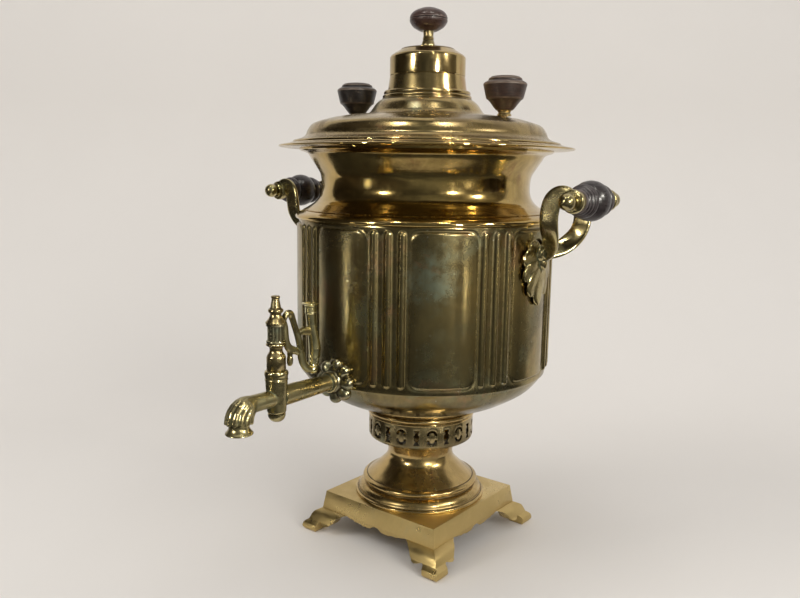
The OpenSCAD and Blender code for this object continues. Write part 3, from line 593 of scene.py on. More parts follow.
@dataclass(frozen=True)
class Finish:
    """What every finish has: a name and the record's slot that it belongs to."""

    name: str
    slot: str

    def material(self) -> bpy.types.Material:
        """The finish's material, made once."""
        if found := bpy.data.materials.get(self.name):
            return found
        made, sheet = blank_material(self.name)
        shader = sheet.add("BsdfPrincipled")
        out = sheet.add("OutputMaterial")
        sheet.feed(out, "In0", shader.outputs[0])
        self.dress(sheet, shader, sheet.add("TexCoord").outputs["Object"])
        return made

    def dress(self, sheet: Sheet, shader: bpy.types.Node, place: bpy.types.NodeSocket) -> None:
        """Lays out the nodes that feed the shader."""
        raise NotImplementedError


VERDIGRIS = (0.27, 0.36, 0.30)
LIMESCALE = (0.75, 0.74, 0.62)
WALL_FOOT_SHADE = (0.158, 0.132)  # heights in metres between which painted shade darkens the wall towards its foot, on the bowl's underside


@dataclass(frozen=True)
class Brass(Finish):
    """Old brass: polished metal under patches of brown, olive and blue-green tarnish."""

    bright: Colour = (0.80, 0.56, 0.22)
    dull: Colour = (0.42, 0.30, 0.12)
    groove: Colour = (0.07, 0.05, 0.025)
    bloom: Colour = (0.30, 0.40, 0.33)
    stain: Colour = (0.40, 0.20, 0.10)
    tarnish: float = 0.45
    tarnish_scale: float = 16.0
    bloom_cover: float = 0.10
    stain_cover: float = 0.12
    specks: float = 0.15
    rough: float = 0.16
    rough_dull: float = 0.36
    waves: float = 1.0
    scratches: float = 0.05
    grain: float = 0.0
    bump: float = 0.25
    grime: float = 0.85
    rub: float = 0.7
    patch: Colour = (0.0, 0.0, 0.0)
    patch_r: float = 0.0
    streaks: float = 0.0

    def verdigris(self, sheet: Sheet, place: bpy.types.NodeSocket) -> bpy.types.NodeSocket:
        """Mask of one broken patch of blue-green bloom about the point patch, in metres."""
        near = sheet.add("VectorMath", operation="DISTANCE", In0=place, In1=self.patch).outputs["Value"]
        ragged = sheet.times(sheet.noise(place, 95.0, 6.0, 0.72), self.patch_r * 2.6)
        return sheet.span(sheet.plus(near, ragged), self.patch_r * 2.3, self.patch_r * 1.1)

    def cloud(self, sheet: Sheet, place: bpy.types.NodeSocket, scale: float, cover: float,
              edge: float) -> bpy.types.NodeSocket:
        """Blotchy mask, its clouds scale times as fine as the tarnish's."""
        return grouped(sheet, clouds_group(), Vector=place, Scale=self.tarnish_scale * scale, Cover=cover,
                       Edge=edge).outputs[0]

    def dress(self, sheet: Sheet, shader: bpy.types.Node, place: bpy.types.NodeSocket) -> None:
        """Layers tarnish, bloom, streaks with painted shade at the wall's foot, stains, grooves and rubbed
        edges over the polished colour.
        """
        clouds = self.cloud(sheet, place, 1.0, self.tarnish, 0.22)
        colour = sheet.mix(clouds, self.bright, self.dull)
        bloom_place = sheet.mapped(place, Location=(0.31, 0.12, 0.07), Scale=(1.0, 1.0, 0.7))
        bloom = self.cloud(sheet, bloom_place, 1.2, self.bloom_cover, 0.25)
        colour = sheet.stained(colour, bloom, 0.75, self.bloom)
        if self.patch_r:
            bloom = sheet.math("MAXIMUM", bloom, self.verdigris(sheet, place))
            colour = sheet.stained(colour, self.verdigris(sheet, place), 0.6, VERDIGRIS)
        # Darker runs of tarnish down the sheet, and painted shade on the bowl's underside below the flutes,
        # both in the groove colour.
        if self.streaks:
            runs = sheet.noise(sheet.mapped(place, Scale=(130.0, 130.0, 5.0)), 1.0, 4.0, 0.6)
            runs = sheet.span(runs, 0.35, 0.7)
            foot = sheet.span(sheet.add("SeparateXYZ", In0=place).outputs[2], *WALL_FOOT_SHADE, 0.0, 1.3)
            colour = sheet.stained(colour, sheet.plus(runs, foot), self.streaks, self.groove)
        stain_place = sheet.mapped(place, Location=(-0.21, 0.4, 0.15))
        stain = self.cloud(sheet, stain_place, 1.9, self.stain_cover, 0.10)
        colour = sheet.stained(colour, stain, 0.6, self.stain)
        dots = sheet.add("TexVoronoi", Vector=place, Scale=210.0, Randomness=1.0).outputs["Distance"]
        rare = sheet.noise(place, 45.0, 2.0, 0.5)
        dot = sheet.times(sheet.span(dots, 0.17, 0.09), sheet.span(rare, 0.52, 0.62))
        colour = sheet.stained(colour, dot, self.specks, LIMESCALE)
        wear = grouped(sheet, wear_group(), Vector=place)
        colour = sheet.stained(colour, wear.outputs[1], self.grime, self.groove)
        colour = sheet.stained(colour, wear.outputs[0], self.rub, self.bright)
        sheet.feed(shader, "Base_Color", colour)
        shader.inputs["Metallic"].default_value = 1.0
        self.roughen(sheet, shader, place, (clouds, bloom, wear))

    def roughen(self, sheet: Sheet, shader: bpy.types.Node, place: bpy.types.NodeSocket,
                masks: tuple[bpy.types.NodeSocket, bpy.types.NodeSocket, bpy.types.Node]) -> None:
        """Lays out roughness and bumps.

        Args:
            sheet: The material's sheet.
            shader: The shader that they feed.
            place: The place on the piece.
            masks: Tarnish, bloom, and the node of rubbed edges and grooves.
        """
        clouds, bloom, wear = masks
        fine = sheet.noise(place, 240.0, 3.0, 0.6)
        rough = sheet.plus(sheet.span(clouds, 0.0, 1.0, self.rough, self.rough_dull),
                           sheet.times(sheet.math("SUBTRACT", fine, 0.5), 0.12))
        rough = sheet.plus(rough, sheet.times(wear.outputs[1], 0.25))
        rough = sheet.plus(rough, sheet.times(bloom, 0.12))
        rough = sheet.math("SUBTRACT", rough, sheet.times(wear.outputs[0], 0.08), clamp=True)
        sheet.feed(shader, "Roughness", rough)
        height = grouped(sheet, scratch_group(), Vector=place, Waves=self.waves, Scratches=self.scratches,
                         Grain=self.grain).outputs[0]
        bump = sheet.add("Bump", Strength=self.bump, Distance=0.0012, Height=height)
        sheet.feed(shader, "Normal", bump.outputs[0])


@dataclass(frozen=True)
class Wood(Finish):
    """Turned and lacquered wood, worn by hands: grain round the axis, scuffs and chips of bare wood."""

    lacquer: Colour = (0.05, 0.03, 0.028)
    grain: Colour = (0.10, 0.055, 0.045)
    bare: Colour = (0.32, 0.22, 0.17)
    scuffs: float = 0.2
    rough: float = 0.38
    dirt: Colour = (0.012, 0.008, 0.008)

    def dress(self, sheet: Sheet, shader: bpy.types.Node, place: bpy.types.NodeSocket) -> None:
        """Lays grain, scuffs and fine cracks over the lacquer's colour."""
        streaks = sheet.noise(sheet.mapped(place, Scale=(160.0, 160.0, 900.0)), 1.0, 4.0, 0.65, 0.4)
        colour = sheet.mix(sheet.span(streaks, 0.35, 0.7), self.lacquer, self.grain)
        scuff = grouped(sheet, clouds_group(), Vector=place, Scale=120.0, Cover=self.scuffs, Edge=0.08)
        wear = grouped(sheet, wear_group(), Vector=place)
        bare = sheet.math("MAXIMUM", sheet.times(scuff.outputs[0], 0.6), sheet.times(wear.outputs[0], 0.65))
        colour = sheet.mix(bare, colour, self.bare)
        colour = sheet.stained(colour, wear.outputs[1], 0.8, self.dirt)
        sheet.feed(shader, "Base_Color", colour)
        rough = sheet.plus(sheet.times(bare, 0.25),
                           sheet.span(streaks, 0.2, 0.8, self.rough - 0.06, self.rough + 0.1), clamp=True)
        sheet.feed(shader, "Roughness", rough)
        cracks = sheet.noise(sheet.mapped(place, Scale=(90.0, 700.0, 90.0)), 1.0, 3.0, 0.6)
        height = sheet.plus(sheet.times(streaks, 0.5), sheet.span(cracks, 0.3, 0.4, 0.0, 0.6))
        bump = sheet.add("Bump", Strength=0.25, Distance=0.0006, Height=height)
        sheet.feed(shader, "Normal", bump.outputs[0])
        shader.inputs["Coat Weight"].default_value = 0.12
        shader.inputs["Coat Roughness"].default_value = 0.25


@dataclass(frozen=True)
class Soot(Finish):
    """Iron sheet, brown with heat and black with soot."""

    metal: Colour = (0.16, 0.12, 0.10)
    soot: Colour = (0.03, 0.028, 0.026)

    def dress(self, sheet: Sheet, shader: bpy.types.Node, place: bpy.types.NodeSocket) -> None:
        """Mixes soot over brown iron."""
        clouds = grouped(sheet, clouds_group(), Vector=place, Scale=45.0, Cover=0.6, Edge=0.2).outputs[0]
        sheet.feed(shader, "Base_Color", sheet.mix(clouds, self.metal, self.soot))
        sheet.feed(shader, "Roughness", sheet.span(clouds, 0.0, 1.0, 0.55, 0.9))
        shader.inputs["Metallic"].default_value = 0.6
        bump = sheet.add("Bump", Strength=0.4, Distance=0.0006, Height=sheet.noise(place, 600.0, 4.0, 0.7))
        sheet.feed(shader, "Normal", bump.outputs[0])


SHEET = "sheet_brass"
CAST = "cast_brass"
WALL_BRASS = Brass("wall brass", SHEET, (0.43, 0.335, 0.145), (0.20, 0.165, 0.08), groove=(0.11, 0.09, 0.05),
                   tarnish=0.5, tarnish_scale=13.0, bloom=(0.20, 0.27, 0.21), bloom_cover=0.22,
                   stain=(0.42, 0.24, 0.13), stain_cover=0.16, specks=0.5, rough=0.16, rough_dull=0.27,
                   waves=1.0, scratches=0.03, bump=0.22, grime=0.55, rub=0.8, patch=(0.072, -0.083, 0.243),
                   patch_r=0.030, streaks=0.35)
NECK_BRASS = Brass("neck brass", SHEET, (0.58, 0.42, 0.155), (0.34, 0.245, 0.09), tarnish=0.42,
                   groove=(0.16, 0.10, 0.035), grime=0.35, streaks=0.15, bloom_cover=0.0, stain_cover=0.2,
                   stain=(0.26, 0.14, 0.06), rough=0.11, rough_dull=0.22, waves=1.2, bump=0.22)
LID_BRASS = Brass("lid brass", SHEET, (0.50, 0.38, 0.17), (0.27, 0.20, 0.10), tarnish=0.5, bloom_cover=0.05,
                  rough=0.16, rough_dull=0.30)
CAP_BRASS = Brass("cap brass", SHEET, (0.56, 0.42, 0.19), (0.31, 0.24, 0.11), tarnish=0.45, bloom_cover=0.0,
                  stain_cover=0.25, stain=(0.46, 0.24, 0.11), rough=0.16, rough_dull=0.28)
FOOT_BRASS = Brass("pedestal brass", SHEET, (0.58, 0.42, 0.18), (0.33, 0.24, 0.10), tarnish=0.5,
                   bloom_cover=0.0, rough=0.18, rough_dull=0.32)
GALLERY_BRASS = Brass("gallery brass", SHEET, (0.38, 0.30, 0.15), (0.20, 0.16, 0.09), tarnish=0.5,
                      bloom_cover=0.1, rough=0.26, rough_dull=0.42, tarnish_scale=30.0)
SAND_BRASS = Brass("sand cast brass", CAST, (0.62, 0.47, 0.20), (0.42, 0.31, 0.13), tarnish=0.55,
                   tarnish_scale=26.0, bloom_cover=0.0, stain_cover=0.1, specks=0.05, rough=0.33,
                   rough_dull=0.50, waves=0.6, grain=0.16, bump=0.4)
TAP_BRASS = Brass("tap brass", CAST, (0.50, 0.425, 0.215), (0.30, 0.26, 0.14), tarnish=0.5,
                  groove=(0.075, 0.09, 0.055), tarnish_scale=32.0, bloom=(0.18, 0.24, 0.15), bloom_cover=0.2,
                  stain_cover=0.1, rough=0.22, rough_dull=0.4, waves=0.8, grain=0.04, bump=0.35)
GRIP_BRASS = Brass("key grip brass", CAST, (0.90, 0.82, 0.46), (0.68, 0.62, 0.33), tarnish=0.35,
                   tarnish_scale=40.0, bloom_cover=0.05, rough=0.16, rough_dull=0.3, waves=0.8)
STEM_BRASS = Brass("plug bronze", CAST, (0.47, 0.37, 0.18), (0.22, 0.18, 0.09), tarnish=0.5,
                   tarnish_scale=45.0, bloom_cover=0.1, rough=0.2, rough_dull=0.4)
DARK_BRASS = Brass("rosette brass", CAST, (0.40, 0.35, 0.21), (0.16, 0.155, 0.10), tarnish=0.55,
                   tarnish_scale=45.0, bloom=(0.16, 0.22, 0.16), bloom_cover=0.3, rough=0.2, rough_dull=0.4)
ARM_BRASS = Brass("handle brass", CAST, (0.52, 0.44, 0.22), (0.28, 0.225, 0.115), tarnish=0.45,
                  groove=(0.10, 0.125, 0.08), tarnish_scale=38.0, bloom=(0.20, 0.25, 0.16), bloom_cover=0.14,
                  stain_cover=0.15, rough=0.18, rough_dull=0.34, waves=0.8)
GRIP_WOOD = Wood("black turned wood", "dark_wood", (0.015, 0.011, 0.012), (0.036, 0.026, 0.027),
                 (0.20, 0.16, 0.155), scuffs=0.12, rough=0.30)
KNOB_WOOD = Wood("brown turned wood", "red_wood", (0.027, 0.013, 0.009), (0.058, 0.026, 0.016),
                 (0.26, 0.18, 0.12), scuffs=0.14, rough=0.36)
SMOKED_WOOD = Wood("smoked turned wood", "red_wood", (0.011, 0.008, 0.007), (0.028, 0.018, 0.014),
                   (0.24, 0.17, 0.12), scuffs=0.12, rough=0.34)
CAP_WOOD = Wood("red turned wood", "red_wood", (0.032, 0.015, 0.012), (0.065, 0.029, 0.022),
                (0.28, 0.20, 0.17), scuffs=0.16, rough=0.30)
SOOT = Soot("sooty iron", "iron")


# ---- Base: feet, tray, pedestal and gallery ------------------------------------------------------


def slab(name: str, outline: Sequence[Sequence[float]], push: Sequence[float]) -> Piece:
    """Fills a flat outline and extrudes it.

    Args:
        name: The piece's name.
        outline: Its corners in mm, in three dimensions.
        push: How far the face is extruded, in mm.

    Returns:
        The closed slab.
    """
    piece = edge_chain(name, outline)
    bpy.ops.mesh.edge_face_add()
    bpy.ops.mesh.extrude_region_move(TRANSFORM_OT_translate={"value": Vector(push) * MM})
    return clean(piece)


def square(half: float, z: float) -> list[Vector]:
    """Corners of a level square about the axis."""
    return [Vector((x * half, y * half, z)) for x, y in ((-1, -1), (1, -1), (1, 1), (-1, 1))]


def box(name: str, start: Sequence[float], end: Sequence[float]) -> Piece:
    """Upright box between two corners, used as a cutter."""
    x0, y0, z0 = start
    x1, y1, z1 = end
    return slab(name, [(x0, y0, z0), (x1, y0, z0), (x1, y1, z0), (x0, y1, z0)], (0, 0, z1 - z0))


@dataclass
class Base:
    """Four bracket feet, the tray with its lobed aprons, the bell pedestal and the pierced gallery."""

    foot_h: float = 19.5
    skirt_out: float = 62.9
    half_top: float = 60.5
    tray_z: float = 35.5
    toe: float = 76.2
    foot_r: float = 58.4
    waist_r: float = 29.3
    gallery_z: float = 88.5
    gallery_r: float = 47.0
    collar_z: float = 109.5
    motifs: int = 11

    def foot_outline(self) -> list[tuple[float, float]]:
        """Outline of a foot seen square to one side: across, and up."""
        c, t, top = self.skirt_out, self.toe, self.foot_h
        return [*at(c, top, (-29, 0), (-27.5, -0.6), (-25, -1.4), (-21.5, -3.4), (-19.4, -6), (-17.8, -8.6),
                    (-15.6, -10.8), (-12.4, -11.6), (-9, -11)),
                *at(t, top, (-19, -9.9), (-17, -10.6), (-16, -12.6)),
                *at(t, 0, (-15.6, 4), (-15.9, 2), (-14.9, 0.2), (-14, 0), (-1.8, 0), (-0.3, 1.8),
                    (0, 3.6), (-0.8, 6.6)),
                *at(t, top, (-2.4, -11.4), (-4.4, -10), (-5.2, -8), (-6.2, -5.4), (-7.2, -3.6), (-9, -2.2)),
                (c - 0.3, top)]

    def build_feet(self) -> None:
        """Models one foot as the overlap of its two side views, and copies it to the other corners."""
        outline = self.foot_outline()
        reach = self.toe + 1
        foot = slab("foot shape", [(a, -0.01, z) for a, z in outline], (0, reach, 0))
        cut(foot, slab("foot view", [(-0.01, a, z) for a, z in outline], (reach, 0, 0)), "INTERSECT")
        inner = self.skirt_out - 3.4
        cut(foot, box("foot hollow", (-5, -5, self.foot_h - 12.5), (inner, inner, self.foot_h + 5)))
        clean(foot, 2e-5)
        bevel(foot, 0.55, 3, 24)
        for k, place in enumerate(("back_right", "back_left", "front_left", "front_right")):
            turn = Matrix.Rotation(math.radians(90 * k), 4, "Z")
            copied = copy_of(foot, f"bracket_foot_{place}", turn)
            finish_piece(copied, Body.URN, SAND_BRASS, [f"foot_{place}"], 50)
        bpy.data.objects.remove(foot, do_unlink=True)

    def apron_edge(self) -> list[tuple[float, float]]:
        """Lower edge of an apron from its middle outwards: across, and up."""
        top, drop, end = self.foot_h, 3.5, self.skirt_out - 29
        return smooth([*at(0, top, (0, -0.5), (2.5, -0.8), (4.6, -2.0)),
                       *at(0, top - drop, (7, 0.2), (11, 0), (15.5, 0.2)),
                       *at(0, top, (17.2, -2.6), (19.4, -2.4), (23.4, -2.5), (26, -1.4), (28.6, -1.3),
                           (31.4, -0.6)), (end, top)], 3)

    def build_tray(self) -> None:
        """Models the leaning skirt, hollows it, and cuts the lobed aprons into its lower edge."""
        top, out, half = self.foot_h, self.skirt_out, self.half_top
        tray = loft("tray_shape", [square(out - 0.3, top - 3.5), square(out - 0.3, top - 0.3),
                                   square(out, top), square(half, self.tray_z)])
        cut(tray, loft("tray hollow", [square(out - 2.9, top - 8), square(out - 2.5, top - 0.5),
                                       square(half - 2.5, self.tray_z - 2.4)]))
        edge = self.apron_edge()
        line = [(-a, z) for a, z in reversed(edge)] + edge[1:]
        lower = [(edge[-1][0], top - 9), (-edge[-1][0], top - 9)]
        cut(tray, slab("lobes x", [(a, -90, z) for a, z in line + lower], (0, 180, 0)))
        cut(tray, slab("lobes y", [(-90, a, z) for a, z in line + lower], (180, 0, 0)))
        inner = edge[-1][0] - 0.01
        for x, y in ((1, 1), (-1, 1), (-1, -1), (1, -1)):
            cut(tray, box("corner", (min(x * inner, x * 90), min(y * inner, y * 90), top - 9),
                          (max(x * inner, x * 90), max(y * inner, y * 90), top)))
        cut(tray, lathe("air hole", [(0, 20), (25, 20), (25, 40), (0, 40)], 48))
        clean(tray, 2e-5)
        bevel(tray, 0.5, 3, 30)
        finish_piece(tray, Body.URN, SAND_BRASS, ["tray"], 40)

    def build_pedestal(self) -> None:
        """Turns the bell-shaped pedestal with its beads and coves."""
        f, w, z = self.foot_r, self.waist_r, self.tray_z
        outside = rounded(at(f, z, (-0.2, 0), (0, 0.6), (0, 2.3), (-0.6, 3.0), (-2.0, 3.4),
                             (-2.3, 4.2)), 0.3, 3)
        outside += smooth(at(f, z, (-2.6, 4.6), (-3.1, 6.4), (-4.9, 8.6), (-7.6, 9.7)), 5)
        outside += smooth(at(f, z, (-8.8, 10.1), (-9.2, 10.8), (-8.2, 11.4), (-6.9, 12.3), (-6.4, 13.7),
                             (-6.7, 15.1), (-8.0, 16.2), (-9.6, 16.7)), 5)
        outside += smooth([*at(f, z, (-10.6, 17.0), (-11.8, 18)), (w + 0.42 * (f - w), z + 22),
                           *at(w, z, (6.6, 27.2), (1.8, 32.6), (0, 38.4), (1.0, 43.4)),
                           *at(w, self.gallery_z, (3.9, -2.8), (6.4, -0.6), (6.7, 0))], 8)
        inside = [(w + 1.2, self.gallery_z),
                  *at(w, z, (-1.4, 43), (-2, 38.4), (0, 32), (5.2, 25.6), (11, 20.4)),
                  *at(f, z, (-12.6, 16), (-9, 14), (-10.4, 8.4), (-4.6, 4.4), (-3, 0), (-0.2, 0))]
        pedestal = lathe("bell_pedestal", outside + inside, 144)
        finish_piece(pedestal, Body.URN, FOOT_BRASS, ["pedestal"], 50)

    def crescent(self, sign: int) -> list[tuple[float, float]]:
        """Outline of the upper (sign 1) or lower (sign -1) half of a broken ring."""
        outer = [(4.7 * math.cos(a), 2.1 + 4.7 * math.sin(a))
                 for a in np.linspace(math.radians(-2), math.radians(182), 19)]
        inner = [(2.2 * math.cos(a), 2.6 + 2.0 * math.sin(a))
                 for a in np.linspace(math.radians(200), math.radians(-20), 12)]
        claws = [(-3.4, 1.5), (-2.6, 2.0)]
        return [(x, sign * y) for x, y in outer + claws + inner + [(-a, b) for a, b in reversed(claws)]]

    def slot_outline(self) -> list[tuple[float, float]]:
        """Outline of an upright slot, notched at its middle."""
        quarter = [(2.7, 6.7), (2.2, 5.0), (1.1, 3.8), (1.5, 2.9), (2.3, 2.0), (2.9, 0.9), (2.2, 0.0)]
        right = quarter + [(x, -z) for x, z in reversed(quarter[:-1])]
        return right + [(-x, z) for x, z in reversed(right)]

    def build_gallery(self) -> None:
        """Turns the gallery and cuts its motifs through the wall."""
        r, z, lip = self.gallery_r, self.gallery_z, self.waist_r + 1
        top = self.collar_z
        outside = rounded([(lip, z), *at(r, z, (-2.6, 0), (-0.7, 1.2), (0, 2.8)), (r, top)], 0.8, 4)
        inside = [(r - 1.8, top), (r - 1.8, z + 1.8), (lip, z + 1.8), (lip, z)]
        gallery = lathe("pierced_gallery", outside + inside, 176)
        middle = z + 11.1
        holes = []
        for k in range(self.motifs):
            for turn, shapes in ((k, [self.slot_outline()]),
                                 (k + 0.5, [self.crescent(1), self.crescent(-1)])):
                around = Matrix.Rotation(math.tau * turn / self.motifs, 4, "Z")
                for shape in shapes:
                    hole = slab("hole", [(x, -r - 3, middle + h) for x, h in shape], (0, 8, 0))
                    hole.data.transform(around)
                    holes.append(hole)
        cut(gallery, clean(join(holes, "holes"), 1e-7))
        clean(gallery, 2e-6)
        bevel(gallery, 0.22, 2, 45)
        finish_piece(gallery, Body.URN, GALLERY_BRASS, ["gallery_ring"], 40, 0.7)

    def build(self) -> None:
        """Builds the base from the ground up."""
        self.build_feet()
        self.build_tray()
        self.build_pedestal()
        self.build_gallery()


# ---- Urn: collar, fluted wall, neck, rim and chimney ---------------------------------------------


@dataclass
class Urn:
    """The collar under the body, the fluted wall, the flared neck, the rim and the chimney's sleeve."""

    collar_z: float = 109.5
    body_z: float = 122.3
    body_r: float = 109.0
    shoulder_z: float = 284.0
    mouth_z: float = 342.4
    panels: int = 8
    panel_half: float = 13.75
    panel_top: float = 110.6
    reed_step: float = 5.83
    flute_low: float = 159.6
    flute_high: float = 280.6
    sheet: float = 1.4

    def build_collar(self) -> None:
        """Turns the moulded collar between gallery and body."""
        g, z, top = 47.0, self.collar_z, self.body_z
        outside = rounded(at(g, z, (-1.8, 0), (0.6, 0), (0.6, 1.5), (0.1, 2)), 0.3, 3)
        outside += smooth(at(g, z, (0.3, 2.4), (1.7, 3.0), (2.4, 4.4), (1.9, 5.9), (0.9, 6.6)), 5)
        outside += smooth([(g + 1.6, z + 7.1), *at(g, top, (3.4, -4.9), (5.6, -3.4), (8, -2))], 5)
        outside += at(g, top, (9.7, -1.6), (10, -1.1), (10, 0))
        inside = [(g + 2, top), (g - 1.8, z + 6.6), (g - 1.8, z)]
        finish_piece(lathe("body_collar", outside + inside, 144), Body.URN, FOOT_BRASS, ["neck_collar"], 50)

    def wall_outline(self) -> list[tuple[float, float]]:
        """Closed section of the wall, with close rows where the flutes end."""
        b, z = self.body_r, self.body_z
        under = smooth([(60, z + 0.9),
                        *at(b, z, (-38, 4), (-28, 8.6), (-13.4, 17.6), (-5.7, 25.6), (-2.4, 31))], 4)
        low_rows = np.linspace(self.flute_low - 5.2, self.flute_low + 9, 20)
        mid_rows = np.linspace(self.flute_low + 16, self.flute_high - 20, 5)
        high_rows = np.linspace(self.flute_high - 13, self.flute_high + 1.4, 24)
        side = [(b - 1.3, z + 33.6)] if low_rows[0] > z + 33.8 else []
        for h in (*low_rows, *mid_rows, *high_rows):
            side.append((b - 0.09 * max(0.0, z + 36.4 - h) ** 1.35, float(h)))
        top = [(b, self.shoulder_z - 0.5), (b - 0.3, self.shoulder_z)]
        inner = [(b - self.sheet, self.shoulder_z), (b - self.sheet, 200), (b - self.sheet, z + 37),
                 *at(b, z, (-7, 25.6), (-14.6, 18.8), (-29, 10.2), (-39, 5.4)),
                 *at(0, z, (60, 2.3), (57, 1.4), (49, 1.4))]
        return [(49, z), (57, z), *under, *side, *top, *inner, (49, z)]

    def relief(self, angle: float, z: float) -> float:
        """How far the fluted wall stands out of the plain one, in mm.

        Args:
            angle: Angle in degrees from the middle of the nearest panel, up to half a sector.
            z: Height in mm.

        Returns:
            The height of panel, frame or reed, below zero in a groove.
        """
        half_sector = 180 / self.panels
        across = math.radians(abs(angle)) * self.body_r
        edge = math.radians(self.panel_half) * self.body_r
        corner = 9.0
        low_end, high_end = self.flute_low, self.flute_high
        dx = across - (edge - corner)
        dz = max(z - (high_end - corner), low_end + corner - z)
        inside = math.hypot(max(dx, 0.0), max(dz, 0.0)) + min(max(dx, dz), 0.0) - corner
        curve = 0.64 * self.body_r
        centre = self.panel_top - curve
        turn = math.radians(angle)
        if inside < 0:
            column = centre * math.cos(turn) + math.sqrt(curve**2 - (centre * math.sin(turn)) ** 2)
            fade = min(1.0, -inside / 1.6)
            lift = (column - self.body_r + 0.25) * fade * fade * (3 - 2 * fade)
        else:
            lift = 0.0
        lift -= 0.42 * math.exp(-(((inside - 0.5) / 1.5) ** 2))
        nearest = min(range(-1, 2), key=lambda k: abs(abs(angle) - half_sector - k * self.reed_step))
        off = math.radians(abs(angle) - half_sector - nearest * self.reed_step) * self.body_r
        half = 2.9
        beyond = max(z - (high_end - half), low_end + half - z, 0.0)
        span = math.hypot(off, beyond) / half
        if span < 1:
            lift = max(lift, 0.0) + 2.05 * (1 - span**2) ** 0.62
        elif abs(angle) > self.panel_half + 0.9:
            lift -= 0.35 * min(1.0, (span - 1) * 2.5) * max(0.0, 1 - beyond / 2.5)
        return lift

    def build_wall(self) -> None:
        """Turns the wall, crowds its columns past the panels' edge, and raises panels and reeds."""
        steps = 720
        wall = lathe("fluted_wall", self.wall_outline(), steps)
        sector = 360 / self.panels
        per = steps // self.panels
        dense = 66
        plain = per - dense
        edge = 12.5

        def placed(point: Vector) -> Vector:
            radius = math.hypot(point.x, point.y)
            angle = math.degrees(math.atan2(point.y, point.x))
            whole = round(angle / sector)
            index = (angle - whole * sector) / sector * per
            step = edge / (plain / 2)
            tight = (sector / 2 - edge) / (dense / 2)
            size = abs(index)
            near = size * step if size <= plain / 2 else edge + (size - plain / 2) * tight
            off = math.copysign(near, index)
            if radius > self.body_r - 0.9 and self.flute_low - 4 < point.z < self.flute_high + 1.2:
                radius += self.relief(off, point.z)
            turn = math.radians(whole * sector + off)
            return Vector((radius * math.cos(turn), radius * math.sin(turn), point.z))

        move_vertices(wall, placed)
        finish_piece(wall, Body.URN, WALL_BRASS, ["body_wall"], 60, 1.3)

    def build_neck(self) -> None:
        """Turns the rounded shoulder and the neck that flares to the mouth."""
        s, z, h, n, mouth = self.body_r + 3, self.shoulder_z, 58.4, 89.5, 108.4
        side = [(s - 5, z),
                *smooth([*at(s, z, (-1.7, 0), (-0.7, 0.4), (-0.1, 1.2), (0, 2.2), (-0.5, 3.4), (-1.9, 4.6),
                             (-4.2, 5.8), (-7.6, 7.3)), *at(n, z, (11.2, 9.6), (7.2, 12.3))], 6)]
        side += smooth([*at(n, z, (5.9, 13.6), (3.3, 16.2), (1.1, 20.4), (0, 26.5)),
                        *at(n, z + h, (0.9, -22), (4.2, -15.6), (9, -8.4)),
                        *at(mouth, z + h, (-7, -4), (-1.4, -2))], 7)
        inside = [(x - 1.1, h2 + 1.0) for x, h2 in reversed(side[40::3])]
        ring = at(mouth, z + h, (0, -1.2), (0, 0), (-9, 0))
        outline = side + ring + inside + at(s, z, (-9, 5.4), (-5, 1.4), (-5, 0))
        finish_piece(lathe("flared_neck", outline, 192), Body.URN, NECK_BRASS, ["body_neck"], 50)

    def build_rim(self) -> None:
        """Turns the thin rim with its rolled edge."""
        z, r, lid, bore = self.mouth_z, 125.8, 114.0, 99.5
        outline = rounded([(bore, z), (111.4, z),
                           *at(r, z, (-4, 0.5), (-1.2, 0.9), (0, 1.5), (-0.1, 2.3), (-1.4, 2.8), (-5, 3.3)),
                           *at(lid, z, (3, 4.1), (1.8, 4.7), (0.6, 4.8)), (bore, z + 4.8), (bore, z)], 0.4, 3)
        finish_piece(lathe("rolled_rim", outline, 192), Body.URN, NECK_BRASS, ["top_rim"], 50)

    def build_sleeve(self) -> None:
        """Turns the chimney's tapered sleeve."""
        z, top = 385.5, 404.0
        outside = smooth([(34, z), (33.7, z + 5), *at(0, top, (32.7, -6), (32.1, -1.5), (31.9, -0.2))], 4)
        outline = [*outside, *at(0, top, (31.4, 0), (26.2, 0), (26.2, -1.7), (30.5, -1.8)),
                   (32.4, z), (34, z)]
        finish_piece(lathe("chimney_collar", outline, 128), Body.URN, CAP_BRASS, ["chimney_sleeve"], 50)

    def build(self) -> None:
        """Builds the urn from the collar up."""
        self.build_collar()
        self.build_wall()
        self.build_neck()
        self.build_rim()
        self.build_sleeve()


# ---- Handles -------------------------------------------------------------------------------------


def fused(pieces: Sequence[Piece], name: str, cell: float, passes: int = 6, cast: float = 0.5) -> Piece:
    """Joins overlapping pieces into one casting with soft fillets.

    Args:
        pieces: Closed pieces that overlap.
        name: The casting's name.
        cell: Size of the remeshing grid in mm.
        passes: How many times the new surface is smoothed.
        cast: Share of each smoothing step.

    Returns:
        The casting.
    """
    whole = join(pieces, name)
    apply_modifier(whole, "REMESH", mode="VOXEL", voxel_size=cell * MM, use_smooth_shade=True)
    return apply_modifier(whole, "SMOOTH", factor=cast, iterations=passes)


def pod(name: str, centre: Sequence[float], sizes: Sequence[float], axis: Vector,
        swell: float = 0.0) -> Piece:
    """Models a rounded lobe, fuller at one end.

    Args:
        name: The piece's name.
        centre: Its middle in mm.
        sizes: Half its length along axis, and half its two widths.
        axis: The direction of its length.
        swell: How much fuller its far end is.

    Returns:
        The lobe.
    """
    deselect()
    bpy.ops.mesh.primitive_uv_sphere_add(segments=24, ring_count=14, radius=1.0)
    piece = bpy.context.object
    piece.name = name
    for vertex in piece.data.vertices:
        width = 1 + swell * vertex.co.z
        vertex.co = Vector((vertex.co.x * sizes[1] * width, vertex.co.y * sizes[2] * width,
                            vertex.co.z * sizes[0])) * MM
    turn = axis.to_track_quat("Z", "Y").to_matrix().to_4x4()
    piece.data.transform(Matrix.Translation(Vector(centre) * MM) @ turn)
    return piece


